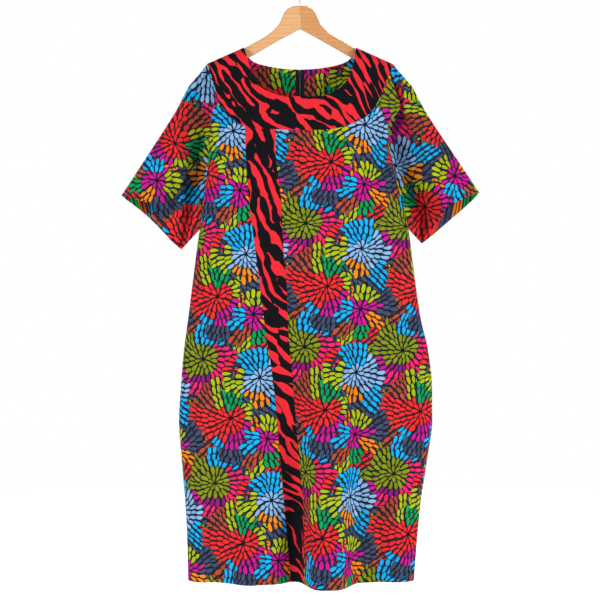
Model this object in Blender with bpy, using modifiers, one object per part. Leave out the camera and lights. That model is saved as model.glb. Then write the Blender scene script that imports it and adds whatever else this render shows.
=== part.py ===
"""A shift dress hanging on a wooden hanger.

The frame: +X is the viewer's right, the front faces -Y, +Z is up, and the origin is the
bearing point inside the top of the hook.  "Drop" is the height below that point.  Table
values are millimetres, everything else is metres.

The dress is one closed surface of body cloth, cut along its seams into panels, and two
lofted sleeves.  Each panel is a wall with open neck, hem and cuffs.
"""

import math

import bmesh
import bpy
import numpy as np
from mathutils import Vector

MM = 0.001

# Driving dimensions
CLOTH = 0.0015  # wall of the cloth
SEAM_GAP = 0.0003  # between neighbouring pieces
HEM_DROP = 1.304
UNDERARM_DROP = 0.550
SHOULDER_REACH = 0.024  # how fast the cloth rounds away from the shoulder line
SIDE_ROUNDNESS = 2.6  # exponent of the body's cross-section
CROWDING = 1.7  # how much the grids crowd towards the shoulder line
HANGER_THICK = 0.010
HANGER_SEAT = 0.0027  # from the shoulder line down to the wood
WIRE_RADIUS = 0.0015
HOOK_RADIUS = 0.020  # inside of the hook
CROWN_DROP = 0.0694
SHANK = 0.022  # how far the wire runs down into the crown
BORE_ROOM = 0.0003
TAPE_WIDTH = 0.009
TAPE_THICK = 0.001
ZIP_ROWS = 18  # of the back's rows that the zip runs down
SLIDER = (0.007, 0.0022, 0.010)  # its plate: across, thick, long
SLIDER_BELOW_NECK = 0.011
BAIL = (0.0016, 0.0029, 0.0064)
BAIL_SLOT = (0.0021, 0.0046)  # height, length
PIVOT_HEIGHT = 0.00105
PULL = (0.0056, 0.001, 0.026)  # across, thick, long
PULL_EYE = (0.0028, 0.0036)
PULL_BAR = 0.0006

# How many quads each stretch of a seam gets, the same on both of its sides
YOKE_DEEP = 4
YOKE_ARM = 5
LEFT_WIDE = 9
STRIP_WIDE = 3
RIGHT_WIDE = 12
YOKE_TIP = 2
ARM_ROWS = 9
SIDE_ROWS = 20
BACK_NECK = 6
SLEEVE_LONG = 8

# The line of the shoulders: across from the middle, drop
SHOULDER = [
    (0, 100),
    (60, 130),
    (121, 159.5),
    (149, 174.5),
    (170, 183.7),
    (189, 190.5),
    (201, 195),
    (240, 214),
]

# The body's cross-section: drop, left side, right side, depth in front, depth behind
BODY = [
    (100, -213.0, 214.0, 20, 17),
    (177, -213.0, 214.0, 24, 21),
    (194, -213.0, 214.0, 25, 22),
    (212, -208.0, 214.0, 27, 23),
    (229, -200.0, 215.0, 29, 25),
    (250, -191.0, 218.0, 32, 27),
    (266, -187.0, 222.0, 34, 29),
    (279, -186.5, 225.0, 35, 30),
    (289, -190.7, 223.2, 36, 31),
    (302, -192.9, 212.8, 37, 32),
    (317, -193.9, 199.0, 38, 33),
    (332, -194.6, 191.5, 39, 34),
    (362, -196.5, 192.6, 41, 36),
    (401, -199.5, 199.1, 43, 38),
    (429, -201.7, 206.0, 44, 39),
    (459, -204.5, 212.4, 45, 40),
    (521, -210.7, 227.9, 47, 42),
    (573, -218.9, 236.5, 48, 43),
    (659, -230.0, 247.2, 50, 45),
    (745, -240.8, 260.1, 52, 47),
    (810, -249.4, 275.2, 54, 49),
    (885, -255.8, 283.8, 56, 50),
    (960, -260.1, 284.4, 56, 50),
    (1046, -254.1, 273.1, 54, 49),
    (1132, -247.2, 260.1, 51, 47),
    (1218, -242.5, 251.5, 48, 45),
    (1304, -240.4, 245.1, 46, 43),
]

# Where the back's armholes want it narrower or wider than the front: drop, left, right
BACK_SIDES = [
    (100, -213.0, 214.0),
    (194, -213.0, 214.0),
    (250, -206.0, 207.0),
    (310, -202.0, 203.0),
    (400, -203.0, 204.0),
    (550, -213.0, 226.0),
]

# Long soft folds that open towards the hem: side (-1 front, 1 back), middle at the waist
# and at the hem, half width at each, how sharp its flanks are, how far it stands out at
# the hem (negative sinks in), the drop where it starts
FOLDS = [
    (-1, 62, 58, 40, 47, 4.0, 60, 470),
    (-1, -112, -106, 34, 42, 2.2, 16, 560),
    (-1, -30, -10, 20, 27, 2.4, -28, 520),
    (-1, 150, 160, 26, 34, 2.0, -14, 620),
    (-1, -185, -176, 24, 30, 2.0, -10, 640),
    (1, -70, -84, 42, 52, 2.4, 26, 480),
    (1, 84, 96, 44, 55, 2.4, 30, 500),
    (1, 4, 6, 30, 40, 2.2, -14, 800),
]

# Spokes of the yoke, from its neck edge to its outer edge: across and drop of both ends
YOKE = [
    (-120.8, 159.7, -199.3, 194.3),
    (-112.3, 186.5, -189.2, 224.7),
    (-103.9, 213.6, -179.3, 258.1),
    (-95.8, 232.6, -173.5, 277.1),
    (-83.0, 249.1, -153.0, 305.7),
    (-63.8, 260.0, -116.5, 334.0),
    (-34.0, 268.7, -50.9, 339.7),
    (6.4, 269.3, 10.6, 342.0),
    (44.6, 268.5, 74.2, 338.2),
    (72.3, 259.7, 118.9, 323.5),
    (91.6, 244.3, 152.7, 301.0),
    (104.5, 226.6, 170.5, 268.5),
    (111.9, 205.6, 182.6, 237.5),
    (116.2, 184.0, 195.1, 210.3),
    (120.8, 159.7, 200.6, 195.2),
]
LEFT_CORNER = 3  # the spoke where the left front meets the yoke and the sleeve
STRIP_LEFT = 5
STRIP_RIGHT = 6
RIGHT_CORNER = 13

# The strip down the front: drop, left edge, right edge
STRIP = [
    (337, -116.5, -50.9),
    (384, -115.4, -51.7),
    (490, -108.0, -40.2),
    (596, -94.5, -34.9),
    (666, -85.6, -28.6),
    (766, -72.7, -24.8),
    (842, -61.0, -18.0),
    (914, -51.9, -11.9),
    (1018, -43.4, -4.2),
    (1139, -33.1, 7.0),
    (1304, -19.1, 9.1),
]

# Armhole seams below the corners: drop, and the place around the body's section, where
# 1 is the side seam and 0 the middle
ARMHOLES = {
    "front_left": [
        (277, 0.785),
        (290, 0.86),
        (308, 0.89),
        (345, 0.90),
        (460, 0.92),
        (550, 1.0),
    ],
    "front_right": [
        (210, 0.76),
        (240, 0.78),
        (270, 0.80),
        (289, 0.846),
        (310, 0.89),
        (345, 0.90),
        (460, 0.92),
        (550, 1.0),
    ],
    "back_left": [
        (194.3, 0.771),
        (225, 0.77),
        (262, 0.79),
        (300, 0.80),
        (360, 0.83),
        (460, 0.89),
        (550, 1.0),
    ],
    "back_right": [
        (195.2, 0.771),
        (225, 0.77),
        (262, 0.79),
        (300, 0.80),
        (360, 0.83),
        (460, 0.89),
        (550, 1.0),
    ],
}

# Neck edge of the back: across, drop
BACK_NECK_LINE = [
    (0, 203.0),
    (36, 201.0),
    (68, 196.0),
    (96, 188.5),
    (112, 176.5),
    (120.8, 159.7),
]

# Cuff of each sleeve, once around from its outer fold over the front: place around the
# sleeve, across, drop, depth
CUFF_LEFT = [
    (0.00, -383.1, 476.4, 0),
    (0.06, -363.9, 482.2, -12),
    (0.13, -330.4, 493.2, -24),
    (0.19, -302.0, 502.7, -34),
    (0.25, -317.7, 525.6, -14),
    (0.32, -298.4, 550.7, -4),
    (0.39, -277.4, 574.1, 1),
    (0.46, -262.0, 588.5, 4),
    (0.50, -255.0, 592.5, 10),
    (0.54, -260.0, 589.5, 17),
    (0.64, -281.3, 570.6, 29),
    (0.76, -324.1, 527.0, 33),
    (0.88, -357.3, 498.6, 20),
    (0.95, -376.2, 484.3, 8),
]
CUFF_RIGHT = [
    (0.00, 384.8, 470.1, 0),
    (0.06, 363.9, 478.6, -12),
    (0.13, 334.7, 492.8, -24),
    (0.19, 310.3, 505.3, -32),
    (0.25, 301.6, 527.1, -20),
    (0.32, 287.1, 544.2, -10),
    (0.39, 272.7, 567.9, -3),
    (0.46, 266.0, 577.0, 3),
    (0.50, 262.5, 580.0, 10),
    (0.54, 267.0, 577.0, 17),
    (0.64, 287.0, 561.5, 29),
    (0.76, 317.7, 535.6, 34),
    (0.88, 355.2, 502.8, 21),
    (0.95, 377.3, 481.1, 8),
]

# Soft shapes along a sleeve: place around it, its half width, place along it, its half
# width, shift across (towards the cuff's side), shift in depth
SLEEVE_FORMS = [
    (0.00, 0.10, 0.15, 0.16, 8, 0),
    (0.17, 0.08, 0.42, 0.28, 0, -11),
    (0.34, 0.09, 0.34, 0.30, 0, 4),
    (0.73, 0.12, 0.48, 0.34, 0, 12),
]

# Upper edge of a hanger half: across, drop
HANGER_TOP = [
    (0, 69.4),
    (15, 70.6),
    (28, 77.5),
    (34, 84.5),
    (39, 96.0),
    (46, 111.0),
    (62, 127.5),
    (80, 139.5),
    (100, 150.5),
    (119, 161.3),
]
HANGER_END = 180.0  # how far each half reaches
HANGER_UNDER = [(174, 203), (150, 200), (112, 181.8), (40, 141), (0, 119.5)]


def table(rows, column, at):
    """A smooth curve through one column of a table, at the given places."""
    data = np.array(rows, dtype=float)
    knots, values = data[:, 0], data[:, column]
    steps = np.diff(knots)
    slopes = np.diff(values) / steps
    inner = np.where(
        slopes[:-1] * slopes[1:] > 0,
        2 * slopes[:-1] * slopes[1:] / (slopes[:-1] + slopes[1:] + 1e-30),
        0.0,
    )
    ends = np.concatenate([[slopes[0]], inner, [slopes[-1]]])
    at = np.clip(np.asarray(at, dtype=float), knots[0], knots[-1])
    k = np.clip(np.searchsorted(knots, at, side="right") - 1, 0, len(steps) - 1)
    f = (at - knots[k]) / steps[k]
    return (
        (1 + 2 * f) * (1 - f) ** 2 * values[k]
        + f * (1 - f) ** 2 * steps[k] * ends[k]
        + f * f * (3 - 2 * f) * values[k + 1]
        + f * f * (f - 1) * steps[k] * ends[k + 1]
    )


def through(points, count_per_span, closed=False):
    """A Catmull-Rom curve through points, with the same count of steps in each span."""
    points = np.array(points, dtype=float)
    n = len(points)
    out = []
    spans = n if closed else n - 1
    for i in range(spans):
        if closed:
            a, b, c, d = (points[(i + k) % n] for k in (-1, 0, 1, 2))
        else:
            b, c = points[i], points[i + 1]
            a = points[i - 1] if i else 2 * b - c
            d = points[i + 2] if i + 2 < n else 2 * c - b
        for k in range(count_per_span):
            f = k / count_per_span
            out.append(
                0.5
                * (
                    2 * b
                    + (c - a) * f
                    + (2 * a - 5 * b + 4 * c - d) * f**2
                    + (3 * b - a - 3 * c + d) * f**3
                )
            )
    if not closed:
        out.append(points[-1])
    return np.array(out)


def shoulder_drop(across):
    return table(SHOULDER, 1, np.abs(across) / MM) * MM


def sides_at(side, rows):
    """How far the front or the back reaches to the left and to the right."""
    left, right = table(BODY, 1, rows), table(BODY, 2, rows)
    if side > 0:
        mix = np.clip((UNDERARM_DROP / MM - rows) / 150, 0, 1)
        mix = mix * mix * (3 - 2 * mix)
        left = left + (table(BACK_SIDES, 1, rows) - left) * mix
        right = right + (table(BACK_SIDES, 2, rows) - right) * mix
    return left * MM, right * MM


def body(side, place, drop):
    """A point of the body's outer face.

    side is -1 for the front and 1 for the back, place runs from -1 at the left side seam
    to 1 at the right one.
    """
    rows = np.asarray(drop, dtype=float) / MM
    left, right = sides_at(side, rows)
    deep = table(BODY, 3 if side < 0 else 4, rows) * MM
    share = np.sin(np.pi / 2 * np.clip(place, -1, 1))
    across = (left + right) / 2 + (right - left) / 2 * share
    round_side = np.sqrt(np.maximum(1 - np.abs(share) ** SIDE_ROUNDNESS, 0))
    below = np.clip((drop - shoulder_drop(across)) / SHOULDER_REACH, 0, 1)
    cap = np.sqrt(1 - (1 - below) ** 2)
    out = deep * round_side
    hem = HEM_DROP / MM
    for face, waist, foot, thin, wide, sharp, height, start in FOLDS:
        if face != side:
            continue
        down = np.clip((rows - start) / (hem - start), 0, 1)
        middle = (waist + (foot - waist) * down) * MM
        reach = (thin + (wide - thin) * down) * MM
        rise = height * MM * down**1.6 * np.minimum(1, 3 * round_side)
        out = out + rise * np.exp(-(np.abs((across - middle) / reach) ** sharp))
    return np.stack([across, side * out * cap, -np.asarray(drop, dtype=float)], axis=-1)


def place_of(side, across, drop):
    """The place around the body's section that lies at a distance across."""
    left, right = sides_at(side, np.asarray(drop) / MM)
    share = np.clip((across - (left + right) / 2) / ((right - left) / 2), -1, 1)
    return 2 / np.pi * np.arcsin(share)


def body_normal(side, place, drop):
    """Outward directions of the body's cloth."""
    small = 1e-3
    low = np.clip(place - small, -1, 1)
    high = np.clip(place + small, -1, 1)
    around = body(side, high, drop) - body(side, low, drop)
    down = body(side, place, drop + small) - body(side, place, drop)
    n = np.cross(around, down) * side
    n /= np.linalg.norm(n, axis=-1, keepdims=True) + 1e-12
    return n


def blend(top, bottom, left, right):
    """A grid between four edge curves that share their corners (a Coons patch)."""
    rows, columns = len(left), len(top)
    u = np.linspace(0, 1, columns)[None, :, None]
    v = np.linspace(0, 1, rows)[:, None, None]
    ruled = (1 - v) * top[None] + v * bottom[None] + (1 - u) * left[:, None] + u * right[:, None]
    corners = (
        (1 - u) * (1 - v) * top[0]
        + u * (1 - v) * top[-1]
        + (1 - u) * v * bottom[0]
        + u * v * bottom[-1]
    )
    return ruled - corners


def in_place(side, curve):
    """Turns (across, drop) pairs into (place, drop) pairs."""
    return np.stack([place_of(side, curve[..., 0], curve[..., 1]), curve[..., 1]], axis=-1)


def unit(v):
    return v / (np.linalg.norm(v, axis=-1, keepdims=True) + 1e-12)


def without(v, n):
    """What is left of v across the direction n."""
    return unit(v - np.sum(v * n, axis=-1, keepdims=True) * n)


def step_back(line, inner, normals, along):
    """A seam line moved half a seam gap towards the cloth's inner points."""
    into = without(inner - line, along)
    share = np.sum(into * without(into, normals), axis=-1, keepdims=True)
    return line + into * (SEAM_GAP / 2 / np.maximum(share, 0.35))


def draw_in(points, normals, edges):
    """Moves the seam edges of a grid back by half a seam gap."""
    for edge in edges:
        here, near = (0, 1) if edge in ("top", "left") else (-1, -2)
        grid, out = points, normals
        if edge in ("left", "right"):
            grid, out = points.swapaxes(0, 1), normals.swapaxes(0, 1)
        along = unit(np.gradient(grid[here], axis=0))
        grid[here] = step_back(grid[here], grid[near], out[here], along)


def wall(name, points, normals, own, material, thick=CLOTH, ring=False):
    """A closed wall under a grid of outer points: a loft between its two faces."""
    rows, columns = points.shape[:2]
    lean = np.maximum(np.sum(normals * own, axis=-1, keepdims=True), 0.5)
    inner = points - normals * thick / lean
    mesh = bmesh.new()
    faces = []
    for grid in (points, inner):
        faces.append([[mesh.verts.new(grid[i, j]) for j in range(columns)] for i in range(rows)])
    outside, inside = faces
    across = columns if ring else columns - 1

    def quad(a, b, c, d):
        mesh.faces.new((a, b, c, d))

    def rim(a, b, c, d):
        """The edge face over outer points a and b, split the same way on both sides of a seam."""
        if a.co.z + 0.37 * a.co.x > b.co.z + 0.37 * b.co.x:
            mesh.faces.new((a, b, c))
            mesh.faces.new((a, c, d))
        else:
            mesh.faces.new((a, b, d))
            mesh.faces.new((b, c, d))

    for i in range(rows - 1):
        for j in range(across):
            k = (j + 1) % columns
            quad(outside[i][j], outside[i + 1][j], outside[i + 1][k], outside[i][k])
            quad(inside[i][j], inside[i][k], inside[i + 1][k], inside[i + 1][j])
    for j in range(across):
        k = (j + 1) % columns
        rim(outside[0][j], outside[0][k], inside[0][k], inside[0][j])
        rim(outside[-1][j], outside[-1][k], inside[-1][k], inside[-1][j])
    if not ring:
        for i in range(rows - 1):
            rim(outside[i][0], outside[i + 1][0], inside[i + 1][0], inside[i][0])
            rim(outside[i][-1], outside[i + 1][-1], inside[i + 1][-1], inside[i][-1])
    bmesh.ops.recalc_face_normals(mesh, faces=mesh.faces)
    if mesh.calc_volume(signed=True) < 0:
        bmesh.ops.reverse_faces(mesh, faces=mesh.faces)
    return add_mesh(name, mesh, material, smooth=True)


def add_mesh(name, mesh, material, smooth=False):
    data = bpy.data.meshes.new(name)
    mesh.to_mesh(data)
    mesh.free()
    data.materials.append(material)
    if smooth:
        data.shade_smooth()
        data.set_sharp_from_angle(angle=math.radians(50))
    thing = bpy.data.objects.new(name, data)
    DRESS.objects.link(thing)
    return thing


def paint(name, colour, roughness, metallic=0.0):
    material = bpy.data.materials.new(name)
    material.use_nodes = True
    shader = material.node_tree.nodes["Principled BSDF"]
    shader.inputs["Base Color"].default_value = (*colour, 1)
    shader.inputs["Roughness"].default_value = roughness
    shader.inputs["Metallic"].default_value = metallic
    return material


class Cut:
    """The seam lines of the body as (place, drop) pairs, each used by both its pieces."""

    def __init__(self):
        spokes = np.array(YOKE) * MM
        counts = [YOKE_ARM, LEFT_WIDE, STRIP_WIDE, RIGHT_WIDE, YOKE_TIP]
        stops = [0, LEFT_CORNER, STRIP_LEFT, STRIP_RIGHT, RIGHT_CORNER, len(YOKE) - 1]
        fine = through(spokes, 12)
        picks = []
        for n, a, b in zip(counts, stops[:-1], stops[1:]):
            span = fine[a * 12 : b * 12 + 1]
            run = np.concatenate([[0], np.cumsum(np.linalg.norm(np.diff(span[:, 2:], axis=0), axis=1))])
            share = np.linspace(0, 1, n + 1)
            if a == 0:
                share = share**CROWDING
            if b == stops[-1]:
                share = 1 - (1 - share) ** CROWDING
            want = share * run[-1]
            rows = np.stack([np.interp(want, run, span[:, c]) for c in range(4)], axis=-1)
            picks.append(rows if not picks else rows[1:])
        self.spokes = np.concatenate(picks)
        self.outer = in_place(-1, self.spokes[:, 2:])
        a = YOKE_ARM
        b = a + LEFT_WIDE
        c = b + STRIP_WIDE
        d = c + RIGHT_WIDE
        self.left_top = self.outer[a : b + 1]
        self.strip_top = self.outer[b : c + 1]
        self.right_top = self.outer[c : d + 1]
        self.arm_left = self.outer[: a + 1]
        self.arm_right = self.outer[d:][::-1]
        self.sides = {}
        for name, rows in ARMHOLES.items():
            sign = -1 if name.endswith("left") else 1
            first = {"front_left": self.left_top[0], "front_right": self.right_top[-1]}.get(name)
            self.sides[name] = self.side_line(rows, sign, first, name.startswith("front"))
        self.strip_left = self.strip_line(1, self.strip_top[0])
        self.strip_right = self.strip_line(2, self.strip_top[-1])
        self.back_neck = self.back_line()

    def side_line(self, rows, sign, first, front):
        """An armhole seam and the side seam under it, down to the hem."""
        count = ARM_ROWS if front else ARM_ROWS + YOKE_ARM
        start = rows[0][0] * MM if first is None else first[1]
        share = np.linspace(0, 1, count + 1) ** (1 if front else CROWDING)
        share = share * (1.25 - 0.25 * share)
        drop = start + (UNDERARM_DROP - start) * share
        place = sign * table(rows, 1, drop / MM)
        shift = 0 if first is None else first[0] - place[0]
        place = place + shift * np.linspace(1, 0, count + 1) ** 2
        below = np.linspace(UNDERARM_DROP, HEM_DROP, SIDE_ROWS + 1)[1:]
        side = np.stack([np.full(SIDE_ROWS, float(sign)), below], axis=-1)
        return np.concatenate([np.stack([place, drop], axis=-1), side])

    def strip_line(self, column, first):
        share = np.linspace(0, 1, ARM_ROWS + SIDE_ROWS + 1)
        drop = first[1] + (HEM_DROP - first[1]) * share
        across = table(STRIP, column, drop / MM) * MM
        line = in_place(-1, np.stack([across, drop], axis=-1))
        line[:, 0] += (first[0] - line[0, 0]) * (1 - share) ** 4
        return line

    def back_line(self):
        fine = through(np.array(BACK_NECK_LINE) * MM, 8)
        run = np.concatenate([[0], np.cumsum(np.linalg.norm(np.diff(fine, axis=0), axis=1))])
        want = run[-1] * (1 - np.linspace(1, 0, BACK_NECK + 1) ** CROWDING)
        return np.stack([np.interp(want, run, fine[:, c]) for c in range(2)], axis=-1)


def shoulder_normal(sign):
    """Straight out of a shoulder seam, which both its pieces share."""
    a, b = 0.121, 0.2
    fall = shoulder_drop(b) - shoulder_drop(a)
    return unit(np.array([sign * fall, 0.0, b - a]))


def body_piece(name, side, grid, edges, material, shoulders=()):
    """One body panel from a grid of (place, drop) pairs."""
    place, drop = grid[..., 0], grid[..., 1]
    points = body(side, place, drop)
    own = body_normal(side, place, drop)
    normals = own.copy()
    for where, sign in shoulders:
        own[where] = normals[where] = shoulder_normal(sign)
    keys = np.round(points, 6)
    for i, j in np.ndindex(place.shape):
        shared = ARM_NORMALS.get(tuple(keys[i, j]))
        if shared is not None:
            normals[i, j] = shared
    draw_in(points, normals, edges)
    return wall(name, points, normals, own, material)


def armhole(cut, hand):
    """The armhole seam once around: front from the shoulder down, then up the back."""
    upper = cut.arm_left if hand < 0 else cut.arm_right[::-1]
    if hand > 0:
        upper = cut.outer[::-1][: YOKE_TIP + 1]
    front = cut.sides["front_left" if hand < 0 else "front_right"][: ARM_ROWS + 1]
    rear = cut.sides["back_left" if hand < 0 else "back_right"][: ARM_ROWS + YOKE_ARM + 1][::-1]
    front_line = np.concatenate([upper, front[1:]])
    points = np.concatenate(
        [body(-1, front_line[:, 0], front_line[:, 1]), body(1, rear[1:-1, 0], rear[1:-1, 1])]
    )
    own = np.concatenate(
        [
            body_normal(-1, front_line[:, 0], front_line[:, 1]),
            body_normal(1, rear[1:-1, 0], rear[1:-1, 1]),
        ]
    )
    own[0] = shoulder_normal(hand)
    return points, own, len(front_line) - 1


def sleeve_grid(cut, hand, rows):
    """Outer points of a sleeve, from its armhole ring to its cuff ring."""
    ring, own, bottom = armhole(cut, hand)
    count = len(ring)
    around = np.concatenate(
        [np.linspace(0, 0.5, bottom + 1), np.linspace(0.5, 1, count - bottom + 1)[1:-1]]
    )
    cuff_rows = CUFF_LEFT if hand < 0 else CUFF_RIGHT
    fine = through([r[1:] for r in cuff_rows], 10, closed=True)
    keys = np.array([r[0] for r in cuff_rows] + [1.0])
    at = np.concatenate([np.linspace(a, b, 11)[:-1] for a, b in zip(keys[:-1], keys[1:])])
    fine = np.concatenate([fine, fine[:1]])
    at = np.concatenate([at, [1.0]])
    cuff = np.stack([np.interp(around, at, fine[:, c]) for c in range(3)], axis=-1) * MM
    cuff = np.stack([cuff[:, 0], cuff[:, 2], -cuff[:, 1]], axis=-1)
    b = np.linspace(0, 1, rows + 1)[:, None, None]
    grid = (1 - b) * ring[None] + b * cuff[None]
    b = b[..., 0]
    for middle, wide, along, long_, out, deep in SLEEVE_FORMS:
        gap = np.abs(around - middle)
        gap = np.minimum(gap, 1 - gap)[None]
        fade = np.minimum(1, np.minimum(b, 1 - b) * 6)
        swell = np.exp(-((gap / wide) ** 2) - ((b - along) / long_) ** 2) * fade
        grid[..., 0] += hand * out * MM * swell
        grid[..., 1] += deep * MM * swell
    return grid, own, bottom


def ring_normals(grid, hand):
    along = np.gradient(grid, axis=0)
    around = (np.roll(grid, -1, axis=1) - np.roll(grid, 1, axis=1)) / 2
    return unit(np.cross(along, around)) * -hand


def sleeve(name, grid, own, shared, material):
    normals = own.copy()
    normals[0] = shared
    ring = grid[0]
    along = unit(np.roll(ring, -1, axis=0) - np.roll(ring, 1, axis=0))
    grid = grid.copy()
    grid[0] = step_back(ring, grid[1], shared, along)
    return wall(name, grid, normals, own, material, ring=True)


def clear_scene():
    for thing in list(bpy.data.objects):
        bpy.data.objects.remove(thing, do_unlink=True)


clear_scene()
DRESS = bpy.data.collections.new("shift_dress_on_hanger")
bpy.context.scene.collection.children.link(DRESS)
CUTTERS = bpy.data.collections.new("cutters")
bpy.context.scene.collection.children.link(CUTTERS)
CUTTERS.hide_render = True
FLORAL = (0.30, 0.05, 0.16)
ZEBRA = (0.60, 0.03, 0.05)
ARM_NORMALS = {}  # the direction out of each point of the armhole seams


def make_cloth():
    cut = Cut()
    sleeves = {}
    for hand, name in ((-1, "sleeve_left"), (1, "sleeve_right")):
        grid, body_side, bottom = sleeve_grid(cut, hand, SLEEVE_LONG)
        own = ring_normals(grid, hand)
        fold = unit((grid[1, bottom] - grid[0, bottom]) * [1, 0, 1])
        own[0, bottom] = [hand * fold[2], 0, -hand * fold[0]]
        shared = unit(own[0] + body_side)
        for point, normal in zip(grid[0], shared):
            ARM_NORMALS[tuple(np.round(point, 6))] = normal
        sleeves[name] = (grid, own, shared)

    deep = np.linspace(0, 1, YOKE_DEEP + 1)[:, None, None]
    yoke = (1 - deep) * cut.spokes[None, :, :2] + deep * cut.spokes[None, :, 2:]
    ends = {-1: in_place(1, yoke[:, 0]), 1: in_place(1, yoke[:, -1])}
    yoke = in_place(-1, yoke)
    body_piece(
        "front_yoke", -1, yoke, ("left", "right", "bottom"), paint("front_yoke", ZEBRA, 0.8),
        shoulders=((np.s_[:, 0], -1), (np.s_[:, -1], 1)),
    )

    def hem(left, right, count):
        place = np.linspace(left[0], right[0], count + 1)
        return np.stack([place, np.full(count + 1, HEM_DROP)], axis=-1)

    pieces = (
        ("front_left", cut.left_top, cut.sides["front_left"], cut.strip_left, LEFT_WIDE, FLORAL),
        ("centre_strip", cut.strip_top, cut.strip_left, cut.strip_right, STRIP_WIDE, ZEBRA),
        ("front_right", cut.right_top, cut.strip_right, cut.sides["front_right"], RIGHT_WIDE, FLORAL),
    )
    for name, top, left, right, wide, colour in pieces:
        grid = blend(top, hem(left[-1], right[-1], wide), left, right)
        body_piece(name, -1, grid, ("top", "left", "right"), paint(name, colour, 0.8))

    for hand, name in ((-1, "back_left"), (1, "back_right")):
        neck = cut.back_neck * [hand, 1]
        top = np.concatenate([in_place(1, neck), ends[hand][1:]])
        middle = in_place(1, np.stack([np.zeros(2), [neck[0, 1], HEM_DROP]], axis=-1))
        outer = cut.sides[name]
        outer[0] = top[-1]
        share = (outer[:, 1] - outer[0, 1]) / (HEM_DROP - outer[0, 1])
        centre = share[:, None] * (middle[1] - middle[0]) + middle[0]
        centre[:, 0] = place_of(1, 0.0, centre[:, 1])
        across = BACK_NECK + YOKE_DEEP
        foot = hem(centre[-1], outer[-1], across)
        grid = blend(top, foot, centre, outer)
        shoulders = [(np.s_[0, BACK_NECK:], hand)]
        body_piece(
            name, 1, grid, ("top", "left", "right"), paint(name, FLORAL, 0.8), shoulders=shoulders
        )

    for name, (grid, own, shared) in sleeves.items():
        sleeve(name, grid, own, shared, paint(name, FLORAL, 0.8))
    return centre[:, 1]


def make_zip(drops):
    """Two tapes inside the back, a slider outside its top and the slider's pull tab."""
    rows = drops[: ZIP_ROWS + 1].copy()
    rows[0] += 0.0012
    for hand, name in ((-1, "zip_tape_left"), (1, "zip_tape_right")):
        across = hand * np.array([0.0004, 0.0004 + TAPE_WIDTH])
        drop = np.repeat(rows[:, None], 2, axis=1)
        place = place_of(1, across[None, :] + 0 * drop, drop)
        normals = body_normal(1, place, drop)
        points = body(1, place, drop) - normals * (CLOTH + SEAM_GAP)
        wall(name, points, normals, normals, paint(name, (0.012, 0.012, 0.015), 0.7), TAPE_THICK)

    drop = drops[0] + SLIDER_BELOW_NECK
    middle = place_of(1, 0.0, drop)
    foot = Vector(body(1, middle, drop))
    out = Vector(body_normal(1, middle, drop))
    lean = math.atan2(-out.z, out.y)
    pivot = foot + out * (SEAM_GAP + SLIDER[1] + PIVOT_HEIGHT)
    hinge = bpy.data.objects.new("pull_hinge", None)
    hinge.location = pivot
    hinge.rotation_euler = (-lean, 0, 0)
    DRESS.objects.link(hinge)
    bpy.context.view_layer.update()

    plate = block("zip_slider", SLIDER, (0, -PIVOT_HEIGHT - SLIDER[1] / 2, 0), hinge)
    bail = block("bail", BAIL, (0, BAIL[1] / 2 - PIVOT_HEIGHT - 0.0003, 0), hinge, CUTTERS)
    slot_size = (0.004, BAIL_SLOT[0], BAIL_SLOT[1])
    slot = block("bail_slot", slot_size, (0, BAIL_SLOT[0] / 2 - PIVOT_HEIGHT, 0), hinge, CUTTERS)
    soften(plate, 0.0006)
    join(plate, bail, "UNION")
    join(plate, slot, "DIFFERENCE")
    plate.data.materials.append(paint("zip_slider", (0.02, 0.02, 0.022), 0.35, 0.8))

    pull = block("zip_pull", PULL, (0, 0, PULL_BAR - PULL[2] / 2), hinge)
    eye_size = (PULL_EYE[0], 0.004, PULL_EYE[1])
    eye = block("pull_eye", eye_size, (0, 0, -PULL_BAR - PULL_EYE[1] / 2), hinge, CUTTERS)
    soften(pull, 0.0003)
    join(pull, eye, "DIFFERENCE")
    pull.data.materials.append(paint("zip_pull", (0.02, 0.02, 0.022), 0.35, 0.8))


def block(name, size, centre, parent, collection=None):
    """A box of the given size around a centre in its parent's frame."""
    mesh = bmesh.new()
    bmesh.ops.create_cube(mesh, size=1)
    bmesh.ops.scale(mesh, vec=size, verts=mesh.verts)
    bmesh.ops.translate(mesh, vec=centre, verts=mesh.verts)
    data = bpy.data.meshes.new(name)
    mesh.to_mesh(data)
    mesh.free()
    thing = bpy.data.objects.new(name, data)
    (collection or DRESS).objects.link(thing)
    thing.parent = parent
    if collection:
        thing.hide_render = True
        thing.display_type = "WIRE"
    return thing


def soften(thing, width):
    bevel = thing.modifiers.new("rounded edges", "BEVEL")
    bevel.width = width
    bevel.segments = 2
    bevel.limit_method = "ANGLE"


def join(thing, other, operation):
    boolean = thing.modifiers.new(other.name, "BOOLEAN")
    boolean.object = other
    boolean.operation = operation
    boolean.solver = "EXACT"


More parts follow.
